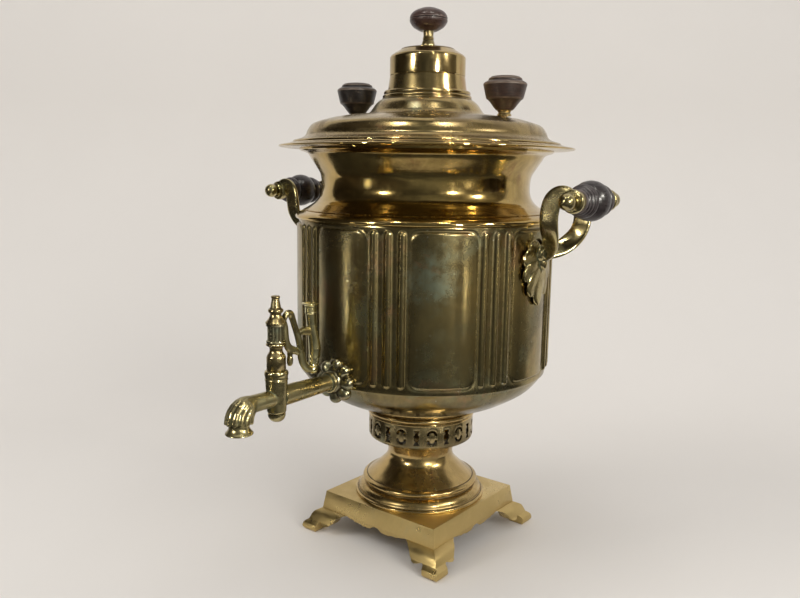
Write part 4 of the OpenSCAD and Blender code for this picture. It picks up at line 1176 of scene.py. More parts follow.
@dataclass
class Handles:
    """Both handles: bracket with its leaf, wooden grip, ferrules, washers and ball nuts."""

    grip_x: float = 154.6
    grip_z: float = 304.5
    grip_half: float = 23.0
    grip_r: float = 15.3
    eye_y: float = 26.0
    eye_t: float = 5.0
    ball_r: float = 6.2
    ball_cut: float = 0.8
    rod_r: float = 2.56
    hub_z: float = 263.0
    panel_at: float = 40.84
    panel_curve: float = 69.76
    panel_gap: float = 0.12

    def on_panel(self, y: float, out: float) -> float:
        """Distance from the axis of a point that lies out from the panel's face."""
        return self.panel_at + math.sqrt((self.panel_curve + out) ** 2 - y * y)

    def petal(self, tip: tuple[float, float], width: float, root: tuple[float, float]) -> Piece:
        """Models one petal of the leaf, from its root on the midrib to its rolled tip.

        Args:
            tip: Its tip across (Y) and up from the hub.
            width: Half its greatest width.
            root: Its start across and up from the hub.

        Returns:
            The petal.
        """
        path, sizes = [], []
        widest, fall = 0.6, 0.405
        for t in np.linspace(0, 1, 16):
            y = root[0] + (tip[0] - root[0]) * t
            z = root[1] + (tip[1] - root[1]) * t
            lift = 4.4 - 3.0 * t * t + 0.9 * max(0.0, t - 0.75) / 0.25
            path.append(Vector((self.on_panel(y, lift), y, self.hub_z + z)))
            if t < widest:
                grow = 0.35 + 0.65 * math.sin(math.pi / 2 * t / widest)
            else:
                grow = math.sqrt(max(0.02, 1 - ((t - widest) / fall) ** 2))
            sizes.append((width * grow, 1.5 + 0.5 * t))
        across = Vector((0, tip[1] - root[1], root[0] - tip[0])).normalized()
        return sweep("petal", path, sizes, across, 20, 0.9)

    def arm(self, side: int) -> list[Piece]:
        """Models one strap arm that curls over to its eye.

        Args:
            side: 1 for the arm towards +Y, -1 for the other.

        Returns:
            The strap and its eye.
        """
        g, z = self.grip_x, self.hub_z
        y = self.eye_y + self.eye_t / 2
        knots = [(116.5, 0.0, z - 2.0), (122, 3.0, z + 0.6), (g - 28, 9.5, z + 3.4),
                 (g - 23.4, 16.5, z + 8.6), (g - 20.4, 23.2, z + 15.2), (g - 19.3, y - 1.2, z + 22.5),
                 (g - 18.9, y, self.grip_z - 10), (g - 17.0, y, self.grip_z - 1.6),
                 (g - 12.6, y, self.grip_z + 3.4), (g - 6.8, y, self.grip_z + 4.4),
                 (g - 1.5, y, self.grip_z + 1.2)]
        path = [Vector((a, side * b, c)) for a, b, c in smooth(knots, 5)]
        last = len(path) - 1
        sizes = []
        for k in range(last + 1):
            t = k / last
            broad = 5.0 + 2.5 * min(1.0, t / 0.3) - 0.9 * max(0.0, t - 0.75) / 0.25
            sizes.append((2.1, broad))
        strap = sweep("strap", path, sizes, Vector((0, 1, 0)), 28, 0.55)
        disc = [(0, 0), (7.6, 0), (8.5, 0.5), (8.8, 1.4), (8.8, 3.6), (8.5, 4.5), (7.6, 5), (0, 5)]
        start = self.eye_y if side > 0 else -self.eye_y - self.eye_t
        eye = lathe("eye", [(r, start + h) for r, h in disc], 48, (g, self.grip_z), True)
        return [strap, eye]

    def bracket(self) -> Piece:
        """Models the right bracket: petals, hub, bud and both arms in one casting."""
        z = self.hub_z
        petals = [self.petal((0, -42.5), 7.4, (0, -10))]
        for side in (1, -1):
            for (across, up), width, root in (((11.0, -34.5), 7.6, (1, -9)), ((17.6, -21.5), 7.8, (1.5, -5)),
                                              ((19.8, -6.5), 7.6, (1.5, -2)), ((13.5, 6.5), 6.8, (1, 0))):
                petals.append(self.petal((side * across, up), width, (side * root[0], root[1])))
        rib = sweep("midrib", [Vector((self.on_panel(0, lift), 0, z + h)) for h, lift in
                               ((-2, 6), (-8, 5.2), (-16, 4.2), (-26, 3), (-36, 2.2), (-41, 1.6))],
                    [(3.4, 2.6), (2.8, 2.2), (2.2, 1.9), (1.8, 1.6), (1.3, 1.2), (0.7, 0.7)],
                    Vector((0, 1, 0)), 16)
        hub = pod("hub", (114.6, 0, z - 1.2), (7.4, 8.2, 7.4), Vector((1, 0, 0.12)), -0.12)
        bud = pod("bud", (116.4, 0, z - 8.2), (5.6, 4.4, 4.6), Vector((0.45, 0, -1)), -0.2)
        ring = pod("hub ring", (119.6, 0, z + 0.2), (2.2, 6.6, 6.2), Vector((1, 0, 0.2)))
        whole = fused([*petals, rib, hub, bud, ring, *self.arm(1), *self.arm(-1)], "handle_casting", 0.5, 5)
        face = self.panel_curve + self.panel_gap
        back = [(self.panel_at + face * math.cos(a), face * math.sin(a))
                for a in np.linspace(-0.62, 0.62, 60)]
        tool = slab("panel", [(20, back[0][1], z - 60), *[(x, y, z - 60) for x, y in back],
                              (20, back[-1][1], z - 60)], (0, 0, 90))
        return cut(whole, tool)

    def grip_outline(self) -> list[tuple[float, float]]:
        """Closed outline of the grip: radius, and place along the rod."""
        l, r = self.grip_half, self.grip_r
        half = smooth([(r, 0), (r - 0.4, 0.14 * l), (r - 1.5, 0.27 * l), (r - 3.0, 0.37 * l)], 5)
        half += [(r - 4.2, 0.40 * l), (r - 4.5, 0.42 * l)]
        half += smooth([(r - 3.9, 0.445 * l), (r - 2.9, 0.52 * l), (r - 2.7, 0.60 * l),
                        (r - 3.4, 0.68 * l)], 4)
        half += [(r - 4.3, 0.70 * l), (r - 4.1, 0.725 * l), (r - 3.9, 0.76 * l), (r - 4.6, 0.80 * l)]
        half += [(r - 5.3, 0.82 * l), (r - 5.1, 0.85 * l), (r - 5.3, 0.90 * l), (r - 6.0, 0.925 * l)]
        half += [(r - 6.4, 0.94 * l), (r - 6.2, 0.97 * l), (r - 6.8, l)]
        lower = [(a, -b) for a, b in reversed(half[1:])]
        return [(2.6, -l), *lower, *half, (2.6, l), (2.6, -l)]

    def build(self) -> None:
        """Builds the right handle's pieces and mirrors them to the left."""
        flip = Matrix.Scale(-1, 4, Vector((1, 0, 0)))
        right = self.bracket()
        left = copy_of(right, "handle_casting_left", flip, True)
        grip = lathe("turned_grip", self.grip_outline(), 96, (self.grip_x, self.grip_z), True)
        other = copy_of(grip, "turned_grip_left", flip, True)
        finish_piece(right, Body.URN, ARM_BRASS, ["handle_bracket_right"], 60, 1.6)
        finish_piece(left, Body.URN, ARM_BRASS, ["handle_bracket_left"], 60, 1.6)
        finish_piece(grip, Body.URN, GRIP_WOOD, ["handle_grip_right"], 50)
        finish_piece(other, Body.URN, GRIP_WOOD, ["handle_grip_left"], 50)
        rod, eye_end = self.rod_r, self.eye_y + self.eye_t
        self.ring_set("grip_ferrules", rounded([(rod, 23), (7.2, 23), (7.9, 23.6), (8.0, 24.5), (7.7, 25.4),
                                                (7.0, 26), (rod, 26), (rod, 23)], 0.3, 3), "ferrules")
        self.ring_set("rod_washers",
                      rounded([(rod, eye_end), *at(0, eye_end, (6.1, 0), (6.4, 0.5), (6.4, 1.5), (6.0, 2)),
                               *at(rod, eye_end, (0, 2), (0, 0))], 0.25, 3), "washers")
        base = eye_end + 2
        middle = base + self.ball_r - self.ball_cut
        ball = [(self.ball_r * math.cos(a), middle + self.ball_r * math.sin(a))
                for a in np.linspace(-math.asin(1 - self.ball_cut / self.ball_r), math.pi / 2, 22)]
        outline = [(rod, base), (ball[0][0], base), *ball[1:-1], (0, ball[-1][1])]
        self.ring_set("ball_nuts", [(0, middle), (rod, middle), *outline], "acorn_nuts")

    def ring_set(self, node: str, outline: Outline, name: str) -> None:
        """Turns a small part once and sets it at both ends of both rods.

        Args:
            node: The CAD node that the four parts stand for.
            outline: Radius, and place along the rod's axis, in mm.
            name: The name of the joined parts.
        """
        part = lathe(name, outline, 64, (self.grip_x, self.grip_z), True)
        parts = [part]
        for sx, sy in ((-1, 1), (1, -1), (-1, -1)):
            turn = Matrix.Diagonal((sx, sy, 1, 1))
            parts.append(copy_of(part, name + str(len(parts)), turn, sx * sy < 0))
        finish_piece(join(parts, name), Body.URN, ARM_BRASS, [node], 45)


# ---- Tap and its key -----------------------------------------------------------------------------


@dataclass
class Tap:
    """Rosette, pipe, barrel and the gadrooned spout."""

    z: float = 161.0
    plug_y: float = -175.0
    spout_y: float = -210.0
    lip_z: float = 142.4
    lobes: int = 8
    lobe_y: float = -112.8
    lobe_ring: float = 11.0
    lobe_sizes: tuple[float, float, float] = (7.3, 5.0, 5.0)
    flutes: int = 12
    seat_r: float = 70.0
    seat_at: float = -40.84

    def build_rosette(self) -> None:
        """Models the ring of swelling lobes round the pipe's root."""
        parts = []
        for k in range(self.lobes):
            a = math.tau * k / self.lobes
            out = Vector((math.cos(a), 0, math.sin(a)))
            centre = Vector((0, self.lobe_y, self.z)) + out * self.lobe_ring
            parts.append(pod("lobe", centre, self.lobe_sizes, out + Vector((0, 0.3, 0)), 0.42))
        dome = [(0, -108.5), (13, -108.8), (13.4, -111), (11, -114.6), (8.9, -116.6), (8.4, -118.2),
                (7.4, -119.2), (0, -119.2)]
        parts.append(lathe("dome", dome, 64, (0, self.z), True))
        rosette = fused(parts, "lobed_rosette", 0.42, 3, 0.4)
        back = [(self.seat_r * math.sin(a), self.seat_at - self.seat_r * math.cos(a))
                for a in np.linspace(-0.5, 0.5, 50)]
        cut(rosette, slab("wall", [(back[0][0], -20, 120), *[(x, y, 120) for x, y in back],
                                   (back[-1][0], -20, 120)], (0, 0, 80)))
        cut(rosette, lathe("bore", [(0, -90), (6.87, -90), (6.87, -130), (0, -130)], 48, (0, self.z), True))
        finish_piece(rosette, Body.URN, DARK_BRASS, ["tap_rosette"], 60, 1.8)

    def hood(self) -> Piece:
        """Models the elbow that swells into a gadrooned hood, its waist and flared lip.

        Each station of the spine has its place, its radius, and the depth of its flutes and scallops.
        """
        y, z, lip = self.spout_y, self.z, self.lip_z
        spine = [(y + 34, z, 6.2, 0, 0), (y + 22, z + 0.1, 6.25, 0, 0), (y + 15, z + 0.1, 6.3, 0, 0),
                 (y + 11.5, z, 6.5, 0, 0), (y + 9.6, z - 0.1, 7.2, 0.1, 0), (y + 7.6, z - 0.6, 8.1, 0.3, 0),
                 (y + 5.2, z - 1.7, 8.9, 0.6, 0), (y + 3.0, z - 3.4, 9.5, 0.85, 0),
                 (y + 1.3, z - 5.6, 9.9, 1.0, 0), (y + 0.4, z - 8.0, 10.1, 1.05, 0),
                 (y, z - 9.9, 10.2, 1.1, 0.9), (y, z - 10.7, 9.7, 1.0, 1.0), (y, z - 10.9, 8.6, 0.6, 0.8),
                 (y, z - 11.0, 7.5, 0, 0.2), (y, z - 12.4, 7.1, 0, 0), (y, z - 14.0, 7.3, 0, 0),
                 (y, z - 15.6, 8.1, 0, 0), (y, z - 17.0, 9.2, 0, 0), (y, lip + 0.9, 9.8, 0, 0),
                 (y, lip + 0.3, 9.9, 0, 0), (y, lip, 9.6, 0, 0), (y, lip, 8.6, 0, 0),
                 (y, lip + 0.8, 7.6, 0, 0), (y, lip + 3.5, 5.4, 0, 0), (y, lip + 9, 4.8, 0, 0)]
        rings = []
        sides = 96
        first_upright = 10
        for i, (py, pz, radius, flute, scallop) in enumerate(spine):
            before, after = spine[max(i - 1, 0)], spine[min(i + 1, len(spine) - 1)]
            ahead = Vector((0, after[0] - before[0], after[1] - before[1]))
            ahead = Vector((0, 0, -1)) if i >= first_upright else ahead.normalized()
            up = Vector((1, 0, 0)).cross(ahead)
            ring = []
            for k in range(sides):
                turn = math.tau * k / sides
                wave = abs(math.cos(self.flutes * turn / 2))
                size = radius + flute * (wave**0.7 - 0.75)
                spot = (Vector((0, py, pz)) + Vector((1, 0, 0)) * size * math.cos(turn)
                        + up * size * math.sin(turn))
                spot.z -= scallop * (wave - 0.5)
                ring.append(spot)
            rings.append(ring)
        return loft("gadrooned_spout", rings)

    def build_body(self) -> None:
        """Models pipe, barrel and spout as one casting."""
        z = self.z
        pipe = lathe("pipe", rounded([(0, -99), (6.8, -99), (6.8, -119.4), (8.2, -119.6), (8.5, -120.6),
                                      (8.2, -121.6), (6.5, -122.2), (6.5, -126), (7.0, -145), (7.5, -160),
                                      (7.6, -171), (0, -171)], 0.5, 3), 96, (0, z), True)
        low_z, top = z - 11.5, z + 20.4
        outline = smooth(at(0, low_z, (4.0, -0.2), (6.2, 0.2), (7.0, 1.6)), 4)
        outline += at(0, z, (7.2, -4), (7.7, 4), (8.1, 12.6))
        outline += smooth(at(0, z, (8.2, 13.2), (8.6, 13.7), (8.3, 14.3)), 3)
        outline += [(8.2, z + 15.2), (8.3, z + 16.2)]
        outline += smooth([*at(0, z, (8.5, 16.8), (8.75, 17.8), (8.7, 19.0), (8.2, 20.0)), (7.5, top)], 4)
        barrel = lathe("barrel", [(0, low_z), *outline, (0, top)], 96, (0, self.plug_y))
        whole = fused([pipe, barrel, self.hood()], "tap_casting", 0.38, 2, 0.35)
        taper = [(0, low_z - 3), (5.35, low_z - 3), (6.17, top + 1), (0, top + 1)]
        cut(whole, lathe("taper", taper, 64, (0, self.plug_y)))
        finish_piece(whole, Body.URN, TAP_BRASS, ["tap_body"], 60, 1.4)

    def build(self) -> None:
        """Builds the tap from the wall outwards."""
        self.build_rosette()
        self.build_body()


@dataclass
class TapKey:
    """What turns with the plug: stem, openwork branch, grip, finial and the nut underneath."""

    plug_y: float = -175.0
    low: float = 149.5
    top: float = 181.4
    drum: float = 202.0
    drum_top: float = 215.4

    def build_plug(self) -> None:
        """Turns the tapered plug and the stem above it."""
        b, d = self.top, self.drum
        outline = [*at(0, self.low, (0, -5), (2.4, -5), (2.4, 0), (5.27, 0)),
                   *at(0, b, (6.1, 0), (6.1, 0.3), (6.6, 0.4), (7.0, 0.8), (7.0, 7.2), (7.05, 9.4))]
        outline += smooth(at(0, b, (7.0, 9.8), (6.3, 11.4), (5.3, 13.0), (4.7, 14.6), (4.7, 15.8)), 4)
        outline += smooth(at(0, b, (4.9, 16.6), (5.4, 17.4), (6.3, 18.0), (7.2, 18.6), (7.3, 19.4),
                             (6.6, 20.2)), 3)
        outline += [(6.4, d - 0.05), (3.2, d), *at(0, self.drum_top, (3.2, 6), (0, 6))]
        plug = lathe("plug_stem", outline, 96, (0, self.plug_y))
        finish_piece(plug, Body.KEY, STEM_BRASS, ["tap_plug"], 45)

    def build_branch(self) -> None:
        """Models the faceted drum and the scrolling limbs that carry the grip."""
        d, t, y = self.drum, self.drum_top, self.plug_y
        drum = lathe("fluted_drum",
                     [*at(0, d, (3.3, 0), (6.9, 0), (7.2, 0.6), (6.9, 1.3), (6.2, 1.8), (6.1, 6.7)),
                      (6.2, t - 1.8), (6.9, t - 1.3), (7.2, t - 0.6), (6.9, t), (3.3, t),
                      (3.3, d)], 96, (0, y))
        apply_modifier(drum, "SUBSURF", levels=1, subdivision_type="SIMPLE")

        def fluted(point: Vector) -> Vector:
            x, dy = point.x, point.y - y
            radius = math.hypot(x, dy)
            if radius > 5 and d + 1.6 < point.z < t - 1.6:
                wave = abs(math.cos(5 * math.atan2(dy, x)))
                scale = 1 - 0.09 * (1 - wave) ** 1.5
                return Vector((x * scale, y + dy * scale, point.z))
            return point

        move_vertices(drum, fluted)
        limbs = [([(-167.4, 216.2), (-166.3, 211.5), (-166.0, 206), (-165.2, 201), (-163.0, 196.2),
                   (-159.8, 193.6), (-156.4, 192.6), (-153.4, 190.4)],
                  (2.0, 2.6, 2.9, 2.9, 3.1, 3.4, 2.8, 2.2)),
                 ([(-168.0, 215.0), (-166.2, 219.4), (-163.2, 221.4), (-160.4, 220.2), (-158.6, 216.4),
                   (-156.4, 210.6), (-154.0, 204.4), (-152.0, 198.2), (-150.8, 192.0), (-149.8, 186.0),
                   (-147.4, 180.6), (-143.4, 176.2), (-139.4, 174.8)],
                  (1.6, 2.2, 2.7, 2.8, 2.5, 2.4, 2.5, 2.7, 2.9, 3.3, 3.2, 2.8, 2.4)),
                 ([(-153.6, 205.2), (-149.4, 206.2), (-145.2, 205.8), (-140.4, 205.0)], (2.4, 2.8, 3.2, 3.4)),
                 ([(-161.6, 194.0), (-161.6, 189.6), (-161.6, 186.6), (-161.7, 183.2), (-161.7, 182.0)],
                  (2.4, 1.9, 2.5, 1.9, 0.9))]
        parts = []
        for knots, widths in limbs:
            path = [Vector((0, a, b)) for a, b in smooth(knots, 4)]
            sizes = [(2.3 * min(1.0, w / 2.2), w) for (w,) in smooth([(w,) for w in widths], 4)]
            parts.append(sweep("limb", path, sizes, Vector((1, 0, 0)), 20))
        whole = fused(parts, "scroll_limbs", 0.32, 4)
        cut(whole, lathe("drum space", [(0, d - 3), (6.0, d - 3), (6.0, t + 3), (0, t + 3)], 64, (0, y)))
        cut(whole, lathe("stem space", at(0, d, (0, -12), (7.8, -12), (7.8, -0.1), (0, -0.1)), 64, (0, y)))
        cut(whole, lathe("finial space", at(0, t, (0, 0.05), (7.9, 0.05), (7.9, 8), (0, 8)), 64, (0, y)))
        finish_piece(drum, Body.KEY, DARK_BRASS, [], 30)
        finish_piece(whole, Body.KEY, TAP_BRASS, ["key_branch"], 60, 1.4)

    def build_grip(self) -> None:
        """Models the grip's gentle S with its flange, collar line, ring and ball end."""
        knots = [(-140.3, 226.6), (-140.2, 221.0), (-139.7, 214.0), (-138.3, 204.7), (-136.4, 196.4),
                 (-135.8, 189.2), (-136.6, 183.0), (-137.7, 178.8), (-137.8, 171.2)]
        line = smooth(knots, 8)
        sizes = {226.8: 6.2, 226.1: 6.4, 225.5: 6.2, 224.9: 4.6, 223.6: 4.1, 219.4: 4.2, 219.0: 4.4,
                 218.4: 4.1, 218.0: 3.8, 210: 3.6, 200: 4.1, 191: 4.6, 184: 4.2, 180.4: 3.5, 179.6: 3.3,
                 179.1: 3.9, 178.3: 4.1, 177.6: 3.7, 177.0: 3.3, 175.8: 3.7, 174.2: 3.7, 172.8: 2.9,
                 171.8: 1.6, 171.3: 0.6}
        stops = sorted(sizes)
        rows = sorted({*stops, *np.linspace(172, 224, 60)}, reverse=True)
        ys = sorted((b, a) for a, b in line)
        rings = []
        for h in rows:
            y = float(np.interp(h, [p[0] for p in ys], [p[1] for p in ys]))
            r = float(np.interp(h, stops, [sizes[s] for s in stops]))
            rings.append([Vector((r * math.cos(a), y + r * math.sin(a), h))
                          for a in np.linspace(0, math.tau, 33)[:-1]])
        grip = loft("curved_grip", rings)
        apply_modifier(grip, "SUBSURF", levels=1)
        finish_piece(grip, Body.KEY, GRIP_BRASS, ["key_grip"], 50)

    def build_finial(self) -> None:
        """Turns the finial with its ring and flat top."""
        z = self.drum_top
        outline = rounded(at(0, z, (0, 0), (6.9, 0), (7.5, 0.6), (7.5, 1.3), (6.8, 1.9)), 0.25, 3)
        outline += smooth(at(0, z, (6.2, 2.8), (4.9, 4.5), (4.1, 6.4), (3.9, 7.2)), 4)
        outline += smooth(at(0, z, (4.0, 7.6), (5.0, 8.5), (5.5, 9.6), (5.2, 10.7), (4.3, 11.4)), 4)
        outline += smooth(at(0, z, (3.8, 12.0), (3.5, 13.8), (3.0, 16.6), (2.7, 18.4)), 4)
        outline += rounded(at(0, z, (2.7, 18.5), (3.3, 19.0), (3.3, 20.0), (2.8, 20.4), (0, 20.6)), 0.25, 3)
        finish_piece(lathe("key_finial_turned", outline, 72, (0, self.plug_y)), Body.KEY, STEM_BRASS,
                     ["key_finial"], 45)

    def build_nut(self) -> None:
        """Turns the acorn nut under the barrel."""
        z = self.low
        outline = [(0, z - 6.6),
                   *smooth(at(0, z, (1.2, -6.55), (3.2, -6.1), (5.2, -4.6), (6.3, -2.4), (6.55, -0.7),
                              (6.5, -0.35)), 4), (0, z - 0.35)]
        finish_piece(lathe("acorn_nut", outline, 64, (0, self.plug_y)), Body.KEY, TAP_BRASS, ["plug_nut"], 45)

    def build(self) -> None:
        """Builds the key from the plug outwards."""
        self.build_plug()
        self.build_branch()
        self.build_grip()
        self.build_finial()
        self.build_nut()


# ---- Lid and chimney cap -------------------------------------------------------------------------


@dataclass
class Lid:
    """The lid with its raised shoulder and collar, and its two wooden knobs on brass stems."""

    seat: float = 347.2
    radius: float = 114.0
    hole_r: float = 34.6
    collar_out: float = 38.0
    top: float = 391.5
    knob_at: float = 71.0
    turn: float = 9.0
    knob_z: float = 369.8
    knob_r: float = 17.7
    knob_h: float = 27.5
    stem_h: float = 4.6

    def build_shell(self) -> None:
        """Turns the lid's sheet with its steps, cove and collar."""
        z, r, c, t = self.seat, self.radius, self.collar_out, self.top
        outside = rounded(at(r, z, (-14, 0), (-0.4, 0), (0, 0.5), (-0.2, 1.2)), 0.3, 3)
        outside += smooth(at(r, z, (-0.8, 1.8), (-4, 2.6), (-8, 4), (-11, 6.4), (-12.4, 10), (-15.4, 14.4),
                             (-20, 17), (-33, 20.6)), 6)
        outside += smooth([(self.knob_at, z + 22.4),
                           *at(c, z, (19, 23.2), (16.2, 23.6), (13, 24.6), (10.4, 26.6), (8.6, 29),
                               (5.6, 33.2), (2.6, 36.0), (1.0, 36.8))], 6)
        outside += rounded([(c + 0.5, z + 37.2), *at(c, t, (0.5, -6.7), (-0.4, -6.1))], 0.3, 3)
        outside += smooth(at(c, t, (-0.4, -5.9), (0, -5.0), (-0.3, -4.1), (-1.0, -3.5)), 3)
        outside += smooth(at(c, t, (-1.5, -3.0), (-1.1, -2.2), (-1.2, -1.0), (-1.9, -0.1)), 3)
        inside = [*at(self.hole_r, t, (0, 0), (0, -8)), *at(c, z, (1.4, 34), (7, 27), (15, 22.2)),
                  (self.knob_at, z + 21),
                  *at(r, z, (-33.4, 19.2), (-20.6, 15.6), (-16.6, 13), (-13.8, 9), (-14.2, 1.4), (-15.4, 1.4),
                      (-15.4, -6.6), (-16.5, -6.9), (-16.5, 0), (-14, 0))]
        outline = [(r - 15.4, z), *outside[1:], *inside[:-2],
                   *at(r, z, (-16.5, -6.9), (-15.4, -6.9), (-15.4, 0))]
        finish_piece(lathe("lid_turned", thinned(outline), 192), Body.LID, LID_BRASS, ["lid_shell"], 50)

    def build_knobs(self) -> None:
        """Turns a stem and a knob, and sets one of each on either side of the chimney."""
        z, h, r, s = self.knob_z, self.knob_h, self.knob_r, self.knob_z + self.stem_h
        stem = [*at(0, z, (0, -10), (2.6, -10), (2.6, 0), (5.7, 0), (5.95, 0.4), (5.8, 1.1), (5.2, 1.7),
                    (4.9, 2.4), (5.0, 3.2), (5.6, 3.8), (5.8, 4.3)), (5.5, s), (2.6, s),
                (2.6, s + 16), (0, s + 16)]
        knob = [(0, s), (r - 11, s),
                *smooth(at(r, s, (-10.6, 0.3), (-8.6, 2.6), (-6.4, 5.6), (-4.6, 7.6)), 4)]
        knob += rounded(at(r, s, (-4.4, 8.0), (-3.3, 8.5), (-2.6, 9.4), (-1.3, 14.4), (-0.3, 18.8), (0, 20.0),
                           (-0.3, 21.0)), 0.5, 3)
        knob += smooth(at(r, s, (-0.9, 21.7), (-2.5, 22.6), (-3.6, 23.1)), 3)
        knob += rounded(at(r, s, (-3.9, 23.2), (-4.1, 24.2), (-4.5, 25.2), (-5.8, 25.7), (-6.2, 26.3),
                           (-8.0, 26.7)), 0.3, 3)
        knob += smooth([*at(r, s, (-9.4, 26.7), (-9.9, 26.4), (-10.5, 26.8)), (3.5, s + h - 0.1),
                        (0, s + h)], 3)
        for side, first, wood in (("right", 0.0, KNOB_WOOD), ("left", 180.0, SMOKED_WOOD)):
            angle = math.radians(self.turn + first)
            place = Matrix.Rotation(angle, 4, "Z") @ Matrix.Translation((self.knob_at * MM, 0, 0))
            for name, outline, finish in (("stem", stem, LID_BRASS), ("knob", knob, wood)):
                piece = lathe(f"lid_{name}_turned_{side}", thinned(outline), 72)
                piece.data.transform(place)
                finish_piece(piece, Body.LID, finish, [f"lid_{name}_{side}"], 45)

    def build(self) -> None:
        """Builds the lid and its knobs."""
        self.build_shell()
        self.build_knobs()


@dataclass
class ChimneyCap:
    """The chimney's cap with its stem and flattened knob."""

    z: float = 404.0
    radius: float = 32.1
    height: float = 24.5
    stem_h: float = 12.5
    knob_r: float = 16.0
    knob_h: float = 19.0

    def build(self) -> None:
        """Turns cap, stem and knob."""
        z, r, top = self.z, self.radius, self.z + self.height
        outside = rounded([(r - 0.2, z), (r, z + 0.4), (r, z + 15.0),
                           *at(r, top, (-0.8, -8.4), (-1.2, -7.9))], 0.4, 3)
        outside += smooth(at(r, top, (-1.8, -7.4), (-5.4, -5.2), (-8.0, -3.6), (-9.0, -3.0)), 4)
        outside += smooth([*at(r, top, (-9.3, -2.6), (-10.4, -2.0), (-18, -0.8)), (7, top - 0.1),
                           (2.56, top)], 4)
        inside = [(2.56, top - 1.4), *at(r, top, (-18, -2.2), (-10, -4.2), (-3.2, -8.8)),
                  *at(r, z, (-1.5, 14), (-1.5, 0), (-0.2, 0))]
        shell = lathe("cap_turned", thinned(outside + inside), 144)
        finish_piece(shell, Body.CAP, CAP_BRASS, ["cap_shell"], 45)
        h = self.stem_h
        stem = [*at(0, top, (0, -6), (2.5, -6), (2.5, 0), (5.6, 0), (5.8, 0.8), (5.7, 1.9)),
                *smooth(at(0, top, (5.4, 2.4), (4.9, 4.2), (4.4, 5.3), (4.5, 5.9)), 3),
                *at(0, top, (4.85, 6.5), (4.5, 7.1), (4.2, 8.2), (4.3, 11)),
                *at(0, top + h, (4.6, 0), (2.5, 0), (2.5, 11), (0, 11))]
        finish_piece(lathe("cap_stem_turned", stem, 64, (0, 0)), Body.CAP, STEM_BRASS, ["cap_stem"], 45)
        k, s, kr = self.knob_h, top + h, self.knob_r
        knob = [(0, s), *smooth([(0.45 * kr, s), (0.60 * kr, s + 0.06 * k), (0.82 * kr, s + 0.18 * k),
                                 (0.97 * kr, s + 0.36 * k), (kr, s + 0.47 * k)], 4)]
        knob += [(kr - 0.35, s + 0.49 * k), (kr - 0.3, s + 0.52 * k)]
        knob += smooth([(kr - 0.05, s + 0.54 * k), (0.96 * kr, s + 0.66 * k), (0.84 * kr, s + 0.79 * k),
                        (0.66 * kr, s + 0.885 * k)], 4)
        knob += smooth([(0.62 * kr, s + 0.885 * k), (0.57 * kr, s + 0.90 * k), (0.40 * kr, s + 0.965 * k),
                        (0.2 * kr, s + k), (0, s + k)], 3)
        finish_piece(lathe("cap_knob_turned", thinned(knob), 84), Body.CAP, CAP_WOOD, ["cap_knob"], 45)


# ---- Stage, light and camera ---------------------------------------------------------------------


